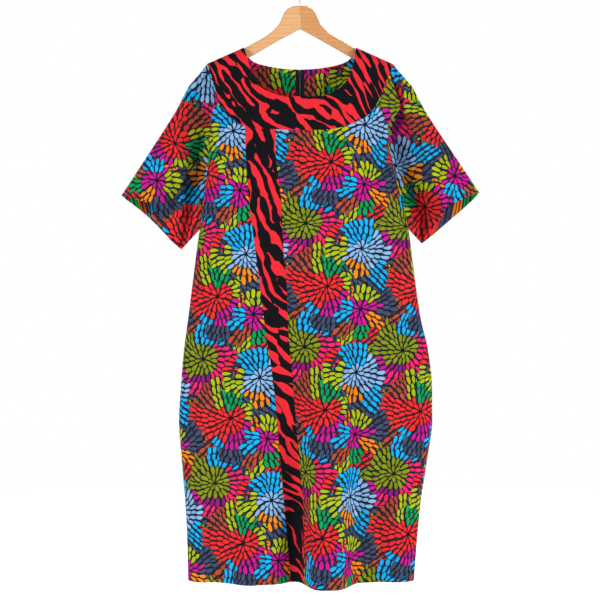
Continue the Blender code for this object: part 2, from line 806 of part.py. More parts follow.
def make_hanger():
    """Two mitred halves of light wood with rounded edges, bored for the hook's shank."""
    end = HANGER_END * MM - 0.006
    seat = [(x / MM, (shoulder_drop(x) + HANGER_SEAT) / MM) for x in np.linspace(0.126, end, 7)]
    end_top = (shoulder_drop(end) + HANGER_SEAT) / MM
    tip = [(HANGER_END, end_top + 7), (HANGER_END - 3, end_top + 13)]
    right_side = HANGER_TOP + seat + tip + HANGER_UNDER
    left_side = [(-across, drop) for across, drop in right_side[::-1]]
    outline = right_side + left_side[1:-1]
    bore = bored("shank_bore", WIRE_RADIUS + BORE_ROOM, 2 * SHANK)
    for hand, name in ((-1, "hanger_half_left"), (1, "hanger_half_right")):
        curve = bpy.data.curves.new(name, "CURVE")
        curve.dimensions = "2D"
        curve.fill_mode = "BOTH"
        curve.extrude = HANGER_THICK / 2
        spline = curve.splines.new("POLY")
        spline.points.add(len(outline) - 1)
        for point, (across, drop) in zip(spline.points, outline):
            point.co = (across * MM, -drop * MM, 0, 1)
        spline.use_cyclic_u = True
        guide = bpy.data.objects.new(name + "_outline", curve)
        DRESS.objects.link(guide)
        guide.rotation_euler = (math.radians(90), 0, 0)
        half = to_mesh(guide, name)
        soften(half, 0.0033)
        size = (0.5, 0.1, 0.4)
        middle = (-hand * (size[0] / 2 - SEAM_GAP / 2), 0, -0.15)
        other = block(name + "_cut", size, middle, None, CUTTERS)
        join(half, other, "DIFFERENCE")
        join(half, bore, "DIFFERENCE")
        colour = (0.72, 0.47, 0.25) if hand < 0 else (0.62, 0.37, 0.18)
        half.data.materials.append(paint(name, colour, 0.5))


def bored(name, radius, depth):
    """A round cutter standing in the middle of the crown's top."""
    mesh = bmesh.new()
    bmesh.ops.create_cone(
        mesh, cap_ends=True, segments=16, radius1=radius, radius2=radius, depth=depth
    )
    bmesh.ops.translate(mesh, vec=(0, 0, -CROWN_DROP), verts=mesh.verts)
    data = bpy.data.meshes.new(name)
    mesh.to_mesh(data)
    mesh.free()
    cutter = bpy.data.objects.new(name, data)
    CUTTERS.objects.link(cutter)
    cutter.hide_render = True
    cutter.display_type = "WIRE"
    return cutter


def to_mesh(guide, name):
    """The evaluated curve as a mesh with its caps welded, in the curve's place."""
    bpy.context.view_layer.update()
    seen = guide.evaluated_get(bpy.context.evaluated_depsgraph_get())
    data = bpy.data.meshes.new_from_object(seen)
    mesh = bmesh.new()
    mesh.from_mesh(data)
    bmesh.ops.remove_doubles(mesh, verts=mesh.verts, dist=0.00001)
    bmesh.ops.dissolve_limit(
        mesh, angle_limit=0.001, verts=mesh.verts, edges=mesh.edges
    )
    bmesh.ops.recalc_face_normals(mesh, faces=mesh.faces)
    mesh.to_mesh(data)
    mesh.free()
    data.name = name
    data.materials.clear()
    thing = bpy.data.objects.new(name, data)
    thing.matrix_world = guide.matrix_world
    DRESS.objects.link(thing)
    bpy.data.objects.remove(guide)
    return thing


def make_hook():
    """A bent wire: a stem out of the crown, a sweep to one side, then most of a circle."""
    round_ = HOOK_RADIUS + WIRE_RADIUS
    centre = -HOOK_RADIUS
    line = [(0, -CROWN_DROP - SHANK + SEAM_GAP), (0, -0.075), (0, -0.062)]
    line += [(0.0015, -0.053), (0.0065, -0.045)]
    for turn in np.radians(np.arange(-42, 196, 17)):
        line.append((round_ * math.cos(turn), centre + round_ * math.sin(turn)))
    path = through([(x, 0, z) for x, z in line], 2)
    curve = bpy.data.curves.new("hook", "CURVE")
    curve.dimensions = "3D"
    curve.bevel_depth = WIRE_RADIUS
    curve.bevel_resolution = 2
    curve.use_fill_caps = True
    spline = curve.splines.new("POLY")
    spline.points.add(len(path) - 1)
    for point, place in zip(spline.points, path):
        point.co = (*place, 1)
    hook = bpy.data.objects.new("hook", curve)
    DRESS.objects.link(hook)
    curve.materials.append(paint("hook", (0.25, 0.25, 0.27), 0.3, 1.0))


make_zip(make_cloth())
make_hanger()
make_hook()
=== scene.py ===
"""Looks of a shift dress hanging on a wooden hanger.

+X is the viewer's right, the front faces -Y, +Z is up and the origin is the bearing point
inside the top of the hook.  "Drop" is the height below that point.  Table values are
millimetres, everything else is metres.

The cloth is the dress's own closed surface, cut along the same seams as its solids, with
finer grids, creases, turned hems and a print that is laid out on the flat cut.
"""

import math

import bmesh
import bpy
import numpy as np
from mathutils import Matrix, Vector


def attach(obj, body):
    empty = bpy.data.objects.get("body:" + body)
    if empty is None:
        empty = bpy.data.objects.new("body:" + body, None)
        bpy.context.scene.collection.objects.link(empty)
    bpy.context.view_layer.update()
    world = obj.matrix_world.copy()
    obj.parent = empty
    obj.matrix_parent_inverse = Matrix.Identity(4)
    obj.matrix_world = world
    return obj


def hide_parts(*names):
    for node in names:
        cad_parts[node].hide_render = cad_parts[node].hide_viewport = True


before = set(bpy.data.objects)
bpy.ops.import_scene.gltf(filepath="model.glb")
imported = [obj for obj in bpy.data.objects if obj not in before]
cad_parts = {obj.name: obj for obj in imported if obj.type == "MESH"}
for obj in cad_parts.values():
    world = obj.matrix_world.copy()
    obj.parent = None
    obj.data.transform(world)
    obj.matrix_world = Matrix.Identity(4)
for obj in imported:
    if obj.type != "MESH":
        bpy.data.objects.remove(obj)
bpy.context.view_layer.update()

MM = 0.001

# Driving dimensions of the cloth
CLOTH = 0.0013
HEM_EXTRA = 0.0009  # how much thicker the turned hem is
HEM_DEEP = 0.024
SEAM_GAP = 0.0003
HEM_DROP = 1.304
UNDERARM_DROP = 0.550
SHOULDER_REACH = 0.024  # how far below its seam the shoulder is rounded
SIDE_ROUNDNESS = 2.6
CROWDING = 1.7  # how much the grid's lines crowd near the shoulders
PER_SPAN = 40  # steps between two points of the yoke's or a cuff's table
NECK_PER_SPAN = 24  # the same for the back's neck edge

# Quads along each stretch of a seam
FINE = 6
YOKE_DEEP = 4 * FINE
YOKE_ARM = 5 * FINE
LEFT_WIDE = 9 * FINE
STRIP_WIDE = 3 * FINE
RIGHT_WIDE = 12 * FINE
YOKE_TIP = 2 * FINE
ARM_ROWS = 9 * FINE
SIDE_ROWS = 20 * FINE
BACK_NECK = 6 * FINE
SLEEVE_LONG = 60

# The line of the shoulders, straight along both seams: across, drop
SHOULDER = [
    (-240, 214), (-199.3, 194.3), (-120.8, 159.7), (0, 100), (120.8, 159.7), (200.6, 195.2),
    (240, 214),
]

# The body's cross-section: drop, left side, right side, depth in front, depth behind
BODY = [
    (100, -213.0, 214.0, 20, 17), (177, -213.0, 214.0, 24, 21), (194, -213.0, 214.0, 25, 22),
    (212, -208.0, 214.0, 27, 23), (229, -200.0, 215.0, 29, 25), (250, -191.0, 218.0, 32, 27),
    (266, -187.0, 222.0, 34, 29), (279, -186.5, 225.0, 35, 30), (289, -190.7, 223.2, 36, 31),
    (302, -192.9, 212.8, 37, 32), (317, -193.9, 199.0, 38, 33), (332, -194.6, 191.5, 39, 34),
    (362, -196.5, 192.6, 41, 36), (401, -199.5, 199.1, 43, 38), (429, -201.7, 206.0, 44, 39),
    (459, -204.5, 212.4, 45, 40), (521, -210.7, 227.9, 47, 42), (573, -218.9, 236.5, 48, 43),
    (659, -230.0, 247.2, 50, 45), (745, -240.8, 260.1, 52, 47), (810, -249.4, 275.2, 54, 49),
    (885, -255.8, 283.8, 56, 50), (960, -260.1, 284.4, 56, 50), (1046, -254.1, 273.1, 54, 49),
    (1132, -247.2, 260.1, 51, 47), (1218, -242.5, 251.5, 48, 45), (1304, -240.4, 245.1, 46, 43),
]

# Where the back's armholes want it narrower or wider than the front: drop, left, right
BACK_SIDES = [
    (100, -213.0, 214.0), (194, -213.0, 214.0), (250, -206.0, 207.0), (310, -202.0, 203.0),
    (400, -203.0, 204.0), (550, -213.0, 226.0),
]

# Long soft folds: side (-1 front, 1 back), middle at the waist and at the hem, half width
# at each, how sharp the flanks are, how far it stands out at the hem, drop where it starts
FOLDS = [
    (-1, 62, 58, 40, 47, 4.0, 60, 470), (-1, -112, -106, 34, 42, 2.2, 16, 560),
    (-1, -30, -10, 20, 27, 2.4, -28, 520), (-1, 150, 160, 26, 34, 2.0, -14, 620),
    (-1, -185, -176, 24, 30, 2.0, -10, 640), (1, -70, -84, 42, 52, 2.4, 26, 480),
    (1, 84, 96, 44, 55, 2.4, 30, 500), (1, 4, 6, 30, 40, 2.2, -14, 800),
]

# Creases: side, across and drop of both ends, bow, half width, height (negative sinks in)
CREASES = [
    (-1, -176, 300, -120, 470, 10, 13, -4.4), (-1, -160, 320, -95, 520, 12, 12, 2.2),
    (-1, 176, 320, 128, 500, -10, 13, -4.2), (-1, 160, 330, 104, 560, -12, 13, 2.0),
    (-1, -205, 560, -110, 640, 8, 12, -3.6), (-1, 228, 560, 140, 650, -10, 13, -3.8),
    (-1, -224, 640, -212, 1000, -6, 11, -4.6), (-1, -200, 760, -190, 1180, 5, 12, 2.6),
    (-1, 232, 680, 246, 1100, 8, 13, -5.0), (-1, 206, 740, 205, 1260, -6, 14, 3.2),
    (-1, -62, 620, -78, 1290, 6, 13, -3.4), (-1, -150, 700, -140, 1304, -5, 12, -4.6),
    (-1, 118, 620, 128, 1300, 6, 12, -5.4), (-1, 20, 420, 46, 760, 5, 14, 2.2),
    (-1, 186, 900, 178, 1304, 5, 12, -4.8), (-1, -226, 1000, -214, 1304, -5, 11, 2.4),
    (1, -170, 330, -70, 520, 12, 14, -4.2), (1, 170, 330, 70, 520, -12, 14, -4.2),
    (1, -190, 420, -90, 620, 12, 13, 3.0), (1, 188, 430, 96, 640, -10, 13, 3.0),
    (1, -30, 340, -50, 560, 5, 12, -2.6), (1, 34, 360, 58, 600, -5, 12, -2.6),
    (1, -215, 600, -150, 720, 8, 14, -3.6), (1, 226, 610, 160, 740, -8, 14, -3.6),
    (1, -150, 760, -160, 1304, 5, 15, -5.0), (1, -24, 700, -30, 1304, 4, 14, -4.6),
    (1, 40, 740, 44, 1304, -4, 14, -4.2), (1, 160, 760, 170, 1304, -5, 15, -5.4),
    (1, 214, 820, 218, 1304, 4, 13, 4.0), (1, -212, 840, -208, 1304, -4, 13, 4.0),
    (1, -110, 900, -120, 1304, 3, 10, 2.6), (1, 120, 880, 132, 1304, -3, 10, 2.6),
]

CREASE_WAVER = 2.5  # how far a crease wavers off its bow, in millimetres
CREASE_SWING = 0.3  # how much its height swings along it
CREASE_ENDS = (0.3, 0.35)  # the shares of its run in which it rises and fades
CREASE_SPREAD = (0.8, 0.5)  # its width at the start, and how much it gains by the end
AT_HEM = 20  # a crease that ends this near the hem runs through it
FOLD_ONSET = 1.6  # how late a fold grows on its way down

# Spokes of the yoke, from its neck edge to its outer edge: across and drop of both ends
YOKE = [
    (-120.8, 159.7, -199.3, 194.3), (-112.3, 186.5, -189.2, 224.7), (-103.9, 213.6, -179.3, 258.1),
    (-95.8, 232.6, -173.5, 277.1), (-83.0, 249.1, -153.0, 305.7), (-63.8, 260.0, -116.5, 334.0),
    (-34.0, 268.7, -50.9, 339.7), (6.4, 269.3, 10.6, 342.0), (44.6, 268.5, 74.2, 338.2),
    (72.3, 259.7, 118.9, 323.5), (91.6, 244.3, 152.7, 301.0), (104.5, 226.6, 170.5, 268.5),
    (111.9, 205.6, 182.6, 237.5), (116.2, 184.0, 195.1, 210.3), (120.8, 159.7, 200.6, 195.2),
]
LEFT_CORNER = 3
STRIP_LEFT = 5
STRIP_RIGHT = 6
RIGHT_CORNER = 13

# The strip down the front: drop, left edge, right edge
STRIP = [
    (337, -116.5, -50.9), (384, -115.4, -51.7), (490, -108.0, -40.2), (596, -94.5, -34.9),
    (666, -85.6, -28.6), (766, -72.7, -24.8), (842, -61.0, -18.0), (914, -51.9, -11.9),
    (1018, -43.4, -4.2), (1139, -33.1, 7.0), (1304, -19.1, 9.1),
]

# Armhole seams: drop, and the place around the body's section (1 is the side seam)
BACK_ARMHOLE = [(225, 0.77), (262, 0.79), (300, 0.80), (360, 0.83), (460, 0.89), (550, 1.0)]
ARMHOLES = {
    "front_left": [(277, 0.785), (290, 0.86), (308, 0.89), (345, 0.90), (460, 0.92), (550, 1.0)],
    "front_right": [(210, 0.76), (240, 0.78), (270, 0.80), (289, 0.846), (310, 0.89),
                    (345, 0.90), (460, 0.92), (550, 1.0)],
    "back_left": [(194.3, 0.771), *BACK_ARMHOLE],
    "back_right": [(195.2, 0.771), *BACK_ARMHOLE],
}

# Neck edge of the back: across, drop
BACK_NECK_LINE = [
    (0, 203.0), (36, 201.0), (68, 196.0), (96, 188.5), (112, 176.5), (120.8, 159.7),
]

# Cuffs, once around from the outer fold over the front: place, across, drop, depth
CUFF_LEFT = [
    (0.00, -383.1, 476.4, 0), (0.06, -363.9, 482.2, -12), (0.13, -330.4, 493.2, -24),
    (0.19, -302.0, 502.7, -34), (0.25, -317.7, 525.6, -14), (0.32, -298.4, 550.7, -4),
    (0.39, -277.4, 574.1, 1), (0.46, -262.0, 588.5, 4), (0.50, -255.0, 592.5, 10),
    (0.54, -260.0, 589.5, 17), (0.64, -281.3, 570.6, 29), (0.76, -324.1, 527.0, 33),
    (0.88, -357.3, 498.6, 20), (0.95, -376.2, 484.3, 8),
]
CUFF_RIGHT = [
    (0.00, 384.8, 470.1, 0), (0.06, 363.9, 478.6, -12), (0.13, 334.7, 492.8, -24),
    (0.19, 310.3, 505.3, -32), (0.25, 301.6, 527.1, -20), (0.32, 287.1, 544.2, -10),
    (0.39, 272.7, 567.9, -3), (0.46, 266.0, 577.0, 3), (0.50, 262.5, 580.0, 10),
    (0.54, 267.0, 577.0, 17), (0.64, 287.0, 561.5, 29), (0.76, 317.7, 535.6, 34),
    (0.88, 355.2, 502.8, 21), (0.95, 377.3, 481.1, 8),
]

# Soft shapes along a sleeve: place around it, its half width, place along it, its half
# width, shift across (towards the cuff's side), shift in depth
SLEEVE_FORMS = [
    (0.00, 0.10, 0.15, 0.16, 8, 0), (0.17, 0.08, 0.42, 0.28, 0, -11),
    (0.34, 0.09, 0.34, 0.30, 0, 4), (0.73, 0.12, 0.48, 0.34, 0, 12),
    (0.08, 0.025, 0.62, 0.22, 0, -2.2), (0.12, 0.020, 0.75, 0.20, 0, 2.2),
    (0.66, 0.030, 0.55, 0.30, 0, -3.6), (0.80, 0.030, 0.50, 0.32, 0, 3.2),
    (0.88, 0.024, 0.60, 0.30, 0, -2.8),
]

# The long crest down each sleeve's front: drop, across.  Past it, towards the body, the
# sleeve falls back.
CRESTS = {
    -1: [(195, -206), (240, -226), (291, -245), (347, -255), (378, -257), (476, -257), (600, -262)],
    1: [(195, 192), (214, 198), (282, 224), (340, 246), (384, 260), (411, 275), (446, 282),
        (474, 292), (504, 303), (600, 330)],
}
CREST_EDGE = 0.012  # how wide the step behind the crest is
CREST_FALL = 0.046  # how far back it goes
CREST_RISE = 0.005
CREST_RIDGE = (0.006, 0.009)  # how far before the step the ridge runs, and its half width
FALL_BELOW_SEAM = 0.016  # the fall is whole this far below the armhole
FALL_ABOVE_CUFF = 0.22  # and it ends over this share of the length above the cuff
FALL_FROM_FOLD = (0.03, 0.06)  # where it starts past the upper fold, and over how much
SLEEVE_ROOM = 0.007  # how far the front half stays in front of the rear half
SLEEVE_EASE = 0.002


def table(rows, column, at):
    """A smooth curve through one column of a table, at the given places."""
    data = np.array(rows, dtype=float)
    knots, values = data[:, 0], data[:, column]
    steps = np.diff(knots)
    slopes = np.diff(values) / steps
    a, b = slopes[:-1], slopes[1:]
    inner = np.where(a * b > 0, 2 * a * b / (a + b + 1e-30), 0.0)
    ends = np.concatenate([slopes[:1], inner, slopes[-1:]])
    at = np.clip(np.asarray(at, dtype=float), knots[0], knots[-1])
    k = np.clip(np.searchsorted(knots, at, side="right") - 1, 0, len(steps) - 1)
    f = (at - knots[k]) / steps[k]
    return (
        (1 + 2 * f) * (1 - f) ** 2 * values[k] + f * (1 - f) ** 2 * steps[k] * ends[k]
        + f * f * (3 - 2 * f) * values[k + 1] + f * f * (f - 1) * steps[k] * ends[k + 1]
    )


def through(points, steps=PER_SPAN, closed=False):
    """A Catmull-Rom curve through points, with the same count of steps in each span."""
    points = np.array(points, dtype=float)
    n = len(points)
    out = []
    for i in range(n if closed else n - 1):
        if closed:
            a, b, c, d = (points[(i + k) % n] for k in (-1, 0, 1, 2))
        else:
            b, c = points[i], points[i + 1]
            a = points[i - 1] if i else 2 * b - c
            d = points[i + 2] if i + 2 < n else 2 * c - b
        square, cube = 2 * a - 5 * b + 4 * c - d, 3 * b - a - 3 * c + d
        for f in np.arange(steps) / steps:
            out.append(0.5 * (2 * b + (c - a) * f + square * f**2 + cube * f**3))
    return np.array(out if closed else out + [points[-1]])


def lengths(points):
    """Distances along a line of points, from its first one."""
    return np.concatenate([[0], np.cumsum(np.linalg.norm(np.diff(points, axis=0), axis=1))])


def read_off(at, knots, rows):
    """Each column of the rows, read off at the given places."""
    return np.stack([np.interp(at, knots, column) for column in np.transpose(rows)], axis=-1)


def soft_step(x):
    """From 0 to 1 with level ends."""
    x = np.clip(x, 0, 1)
    return x * x * (3 - 2 * x)


def shoulder_drop(across):
    places, drops = np.array(SHOULDER, dtype=float).T
    return np.interp(np.asarray(across) / MM, places, drops) * MM


def sides_at(side, rows):
    """How far the front or the back reaches to the left and to the right."""
    left, right = table(BODY, 1, rows), table(BODY, 2, rows)
    if side > 0:
        mix = soft_step((UNDERARM_DROP / MM - rows) / 150)
        left = left + (table(BACK_SIDES, 1, rows) - left) * mix
        right = right + (table(BACK_SIDES, 2, rows) - right) * mix
    return left * MM, right * MM


def creases(side, across, rows):
    """Uneven troughs and ridges, in millimetres out of the cloth."""
    x = across / MM
    rise = np.zeros_like(x)
    for n, (face, x1, d1, x2, d2, bow, wide, height) in enumerate(CREASES):
        if face != side:
            continue
        run = math.hypot(x2 - x1, d2 - d1)
        ex, ed = (x2 - x1) / run, (d2 - d1) / run
        along = ((x - x1) * ex + (rows - d1) * ed) / run
        off = (x - x1) * -ed + (rows - d1) * ex
        t = np.clip(along, 0, 1)
        off = off - bow * 4 * t * (1 - t) - CREASE_WAVER * np.sin(9 * t + n)
        fade = soft_step(along / CREASE_ENDS[0])
        if d2 < HEM_DROP / MM - AT_HEM:
            fade = fade * soft_step((1 - along) / CREASE_ENDS[1])
        swing = 1 + CREASE_SWING * np.sin(7 * t + 2.1 * n)
        reach = wide * (CREASE_SPREAD[0] + CREASE_SPREAD[1] * t)
        rise += height * swing * fade * np.exp(-((off / reach) ** 2))
    return rise


def body(side, place, drop):
    """A point of the body's outer face.

    side is -1 for the front and 1 for the back, place runs from -1 at the left side seam
    to 1 at the right one.
    """
    rows = np.asarray(drop, dtype=float) / MM
    left, right = sides_at(side, rows)
    deep = table(BODY, 3 if side < 0 else 4, rows) * MM
    share = np.sin(np.pi / 2 * np.clip(place, -1, 1))
    across = (left + right) / 2 + (right - left) / 2 * share
    round_side = np.sqrt(np.maximum(1 - np.abs(share) ** SIDE_ROUNDNESS, 0))
    below = np.clip((drop - shoulder_drop(across)) / SHOULDER_REACH, 0, 1)
    cap = np.sqrt(1 - (1 - below) ** 2)
    out = deep * round_side
    hem = HEM_DROP / MM
    inside = np.minimum(1, 3 * round_side)
    for face, waist, foot, thin, wide, sharp, height, start in FOLDS:
        if face != side:
            continue
        down = np.clip((rows - start) / (hem - start), 0, 1)
        middle = (waist + (foot - waist) * down) * MM
        reach = (thin + (wide - thin) * down) * MM
        rise = height * MM * down**FOLD_ONSET * inside
        out = out + rise * np.exp(-(np.abs((across - middle) / reach) ** sharp))
    out = out + creases(side, across, rows) * MM * inside
    return np.stack([across, side * out * cap, -np.asarray(drop, dtype=float)], axis=-1)


def place_of(side, across, drop):
    """The place around the body's section that lies at a distance across."""
    left, right = sides_at(side, np.asarray(drop) / MM)
    share = np.clip((across - (left + right) / 2) / ((right - left) / 2), -1, 1)
    return 2 / np.pi * np.arcsin(share)


def body_normal(side, place, drop):
    """Outward directions of the body's cloth."""
    small = 1e-3
    ends = [body(side, np.clip(place + step, -1, 1), drop) for step in (-small, small)]
    down = body(side, place, drop + small) - body(side, place, drop)
    return unit(np.cross(ends[1] - ends[0], down) * side)


def blend(top, bottom, left, right):
    """A grid between four edge curves that share their corners (a Coons patch)."""
    u = np.linspace(0, 1, len(top))[None, :, None]
    v = np.linspace(0, 1, len(left))[:, None, None]
    ruled = (1 - v) * top[None] + v * bottom[None] + (1 - u) * left[:, None] + u * right[:, None]
    corners = (
        (1 - u) * (1 - v) * top[0] + u * (1 - v) * top[-1]
        + (1 - u) * v * bottom[0] + u * v * bottom[-1]
    )
    return ruled - corners


def in_place(side, curve):
    """Turns (across, drop) pairs into (place, drop) pairs."""
    return np.stack([place_of(side, curve[..., 0], curve[..., 1]), curve[..., 1]], axis=-1)


def unit(v):
    """Vectors brought to a length of 1."""
    return v / (np.linalg.norm(v, axis=-1, keepdims=True) + 1e-12)


def without(v, n):
    """What is left of v across the direction n."""
    return unit(v - np.sum(v * n, axis=-1, keepdims=True) * n)


def step_back(line, inner, normals, along):
    """A seam line moved half a seam gap towards the cloth's inner points."""
    into = without(inner - line, along)
    share = np.sum(into * without(into, normals), axis=-1, keepdims=True)
    return line + into * (SEAM_GAP / 2 / np.maximum(share, 0.35))


def draw_in(points, normals, edges):
    """Moves the seam edges of a grid back by half a seam gap."""
    for edge in edges:
        here, near = (0, 1) if edge in ("top", "left") else (-1, -2)
        grid, out = points, normals
        if edge in ("left", "right"):
            grid, out = points.swapaxes(0, 1), normals.swapaxes(0, 1)
        along = unit(np.gradient(grid[here], axis=0))
        grid[here] = step_back(grid[here], grid[near], out[here], along)


class Cut:
    """The seam lines of the body as (place, drop) pairs, each used by both its pieces."""

    def __init__(self):
        counts = [YOKE_ARM, LEFT_WIDE, STRIP_WIDE, RIGHT_WIDE, YOKE_TIP]
        stops = [0, LEFT_CORNER, STRIP_LEFT, STRIP_RIGHT, RIGHT_CORNER, len(YOKE) - 1]
        fine = through(np.array(YOKE) * MM)
        picks = []
        for n, a, b in zip(counts, stops[:-1], stops[1:]):
            span = fine[a * PER_SPAN : b * PER_SPAN + 1]
            run = lengths(span[:, 2:])
            share = np.linspace(0, 1, n + 1)
            if a == 0:
                share = share**CROWDING
            if b == stops[-1]:
                share = 1 - (1 - share) ** CROWDING
            rows = read_off(share * run[-1], run, span)
            picks.append(rows if not picks else rows[1:])
        self.spokes = np.concatenate(picks)
        self.outer = in_place(-1, self.spokes[:, 2:])
        a, b, c, d = np.cumsum(counts[:-1])
        self.arm_left = self.outer[: a + 1]
        self.left_top = self.outer[a : b + 1]
        self.strip_top = self.outer[b : c + 1]
        self.right_top = self.outer[c : d + 1]
        first = {"front_left": self.left_top[0], "front_right": self.right_top[-1]}
        self.sides = {name: self.side_line(name, first.get(name)) for name in ARMHOLES}
        self.strip_left = self.strip_line(1, self.strip_top[0])
        self.strip_right = self.strip_line(2, self.strip_top[-1])
        self.back_neck = self.back_line()

    def side_line(self, name, first):
        """An armhole seam and the side seam under it, down to the hem."""
        rows, sign = ARMHOLES[name], -1 if name.endswith("left") else 1
        front = name.startswith("front")
        count = ARM_ROWS if front else ARM_ROWS + YOKE_ARM
        start = rows[0][0] * MM if first is None else first[1]
        share = np.linspace(0, 1, count + 1) ** (1 if front else CROWDING)
        share = share * (1.25 - 0.25 * share)
        drop = start + (UNDERARM_DROP - start) * share
        place = sign * table(rows, 1, drop / MM)
        shift = 0 if first is None else first[0] - place[0]
        place = place + shift * np.linspace(1, 0, count + 1) ** 2
        below = np.linspace(UNDERARM_DROP, HEM_DROP, SIDE_ROWS + 1)[1:]
        side = np.stack([np.full(SIDE_ROWS, float(sign)), below], axis=-1)
        return np.concatenate([np.stack([place, drop], axis=-1), side])

    def strip_line(self, column, first):
        """One edge of the strip, from its top corner down to the hem."""
        share = np.linspace(0, 1, ARM_ROWS + SIDE_ROWS + 1)
        drop = first[1] + (HEM_DROP - first[1]) * share
        across = table(STRIP, column, drop / MM) * MM
        line = in_place(-1, np.stack([across, drop], axis=-1))
        line[:, 0] += (first[0] - line[0, 0]) * (1 - share) ** 4
        return line

    def back_line(self):
        """The back's neck edge, from the middle to a shoulder."""
        fine = through(np.array(BACK_NECK_LINE) * MM, NECK_PER_SPAN)
        run = lengths(fine)
        return read_off(run[-1] * (1 - np.linspace(1, 0, BACK_NECK + 1) ** CROWDING), run, fine)


def shoulder_normal(sign):
    """Straight out of a shoulder seam, which both its pieces share."""
    a, b = 0.121, 0.199
    fall = shoulder_drop(sign * b) - shoulder_drop(sign * a)
    return unit(np.array([sign * fall, 0.0, b - a]))


class FlatCloth:
    """Distances along the cloth: how far around each level a place is from a start line."""

    def __init__(self, side, start):
        self.drops = np.linspace(0.150, HEM_DROP + 0.002, 240)
        self.places = np.linspace(-1, 1, 700)
        place, drop = np.meshgrid(self.places, self.drops)
        steps = np.linalg.norm(np.diff(body(side, place, drop), axis=1), axis=-1)
        run = np.concatenate([np.zeros((len(self.drops), 1)), np.cumsum(steps, axis=1)], axis=1)
        origin = place_of(side, start, self.drops)
        zero = np.array([np.interp(p, self.places, r) for p, r in zip(origin, run)])
        self.run = run - zero[:, None]

    def at(self, place, drop):
        i = np.interp(drop, self.drops, np.arange(len(self.drops)))
        j = np.interp(place, self.places, np.arange(len(self.places)))
        i0 = np.clip(i.astype(int), 0, len(self.drops) - 2)
        j0 = np.clip(j.astype(int), 0, len(self.places) - 2)
        f, g = i - i0, j - j0
        low, high = (self.run[k, j0] * (1 - g) + self.run[k, j0 + 1] * g for k in (i0, i0 + 1))
        return low * (1 - f) + high * f


def turned(across, up, lean, anchor, shown=(0, 0)):
    """Flat-cut coordinates turned to the cloth's grain.

    lean is how far the grain leans, anchor is a point of the cut and shown the point of
    the print's repeat that lies there, in millimetres.
    """
    c, s = math.cos(lean), math.sin(lean)
    x, z = across / MM - anchor[0], up / MM - anchor[1]
    return np.stack([x * c + z * s + shown[0], z * c - x * s + shown[1]], axis=-1)


def edge_runs(points):
    """Distances in millimetres of each grid point from the grid's four edges."""
    down = np.linalg.norm(np.diff(points, axis=0), axis=-1) / MM
    over = np.linalg.norm(np.diff(points, axis=1), axis=-1) / MM
    rows, columns = points.shape[:2]
    top = np.concatenate([np.zeros((1, columns)), np.cumsum(down, axis=0)])
    left = np.concatenate([np.zeros((rows, 1)), np.cumsum(over, axis=1)], axis=1)
    return {"top": top, "bottom": top[-1:] - top, "left": left, "right": left[:, -1:] - left}


def add_object(data):
    """A new object of the scene, named like its data."""
    thing = bpy.data.objects.new(data.name, data)
    bpy.context.scene.collection.objects.link(thing)
    return thing


# The cloth's edges in millimetres: the turned hem's upper step and its crease, and the
# hem's rounded edge with the share of thickness that is left there
HEM_STEP = (1.5, 3)
HEM_CREASE = (0.35, 1.4)  # depth, half width
HEM_EDGE = (1.6, 0.72)
NO_EDGE = 99.0  # stands for a far edge


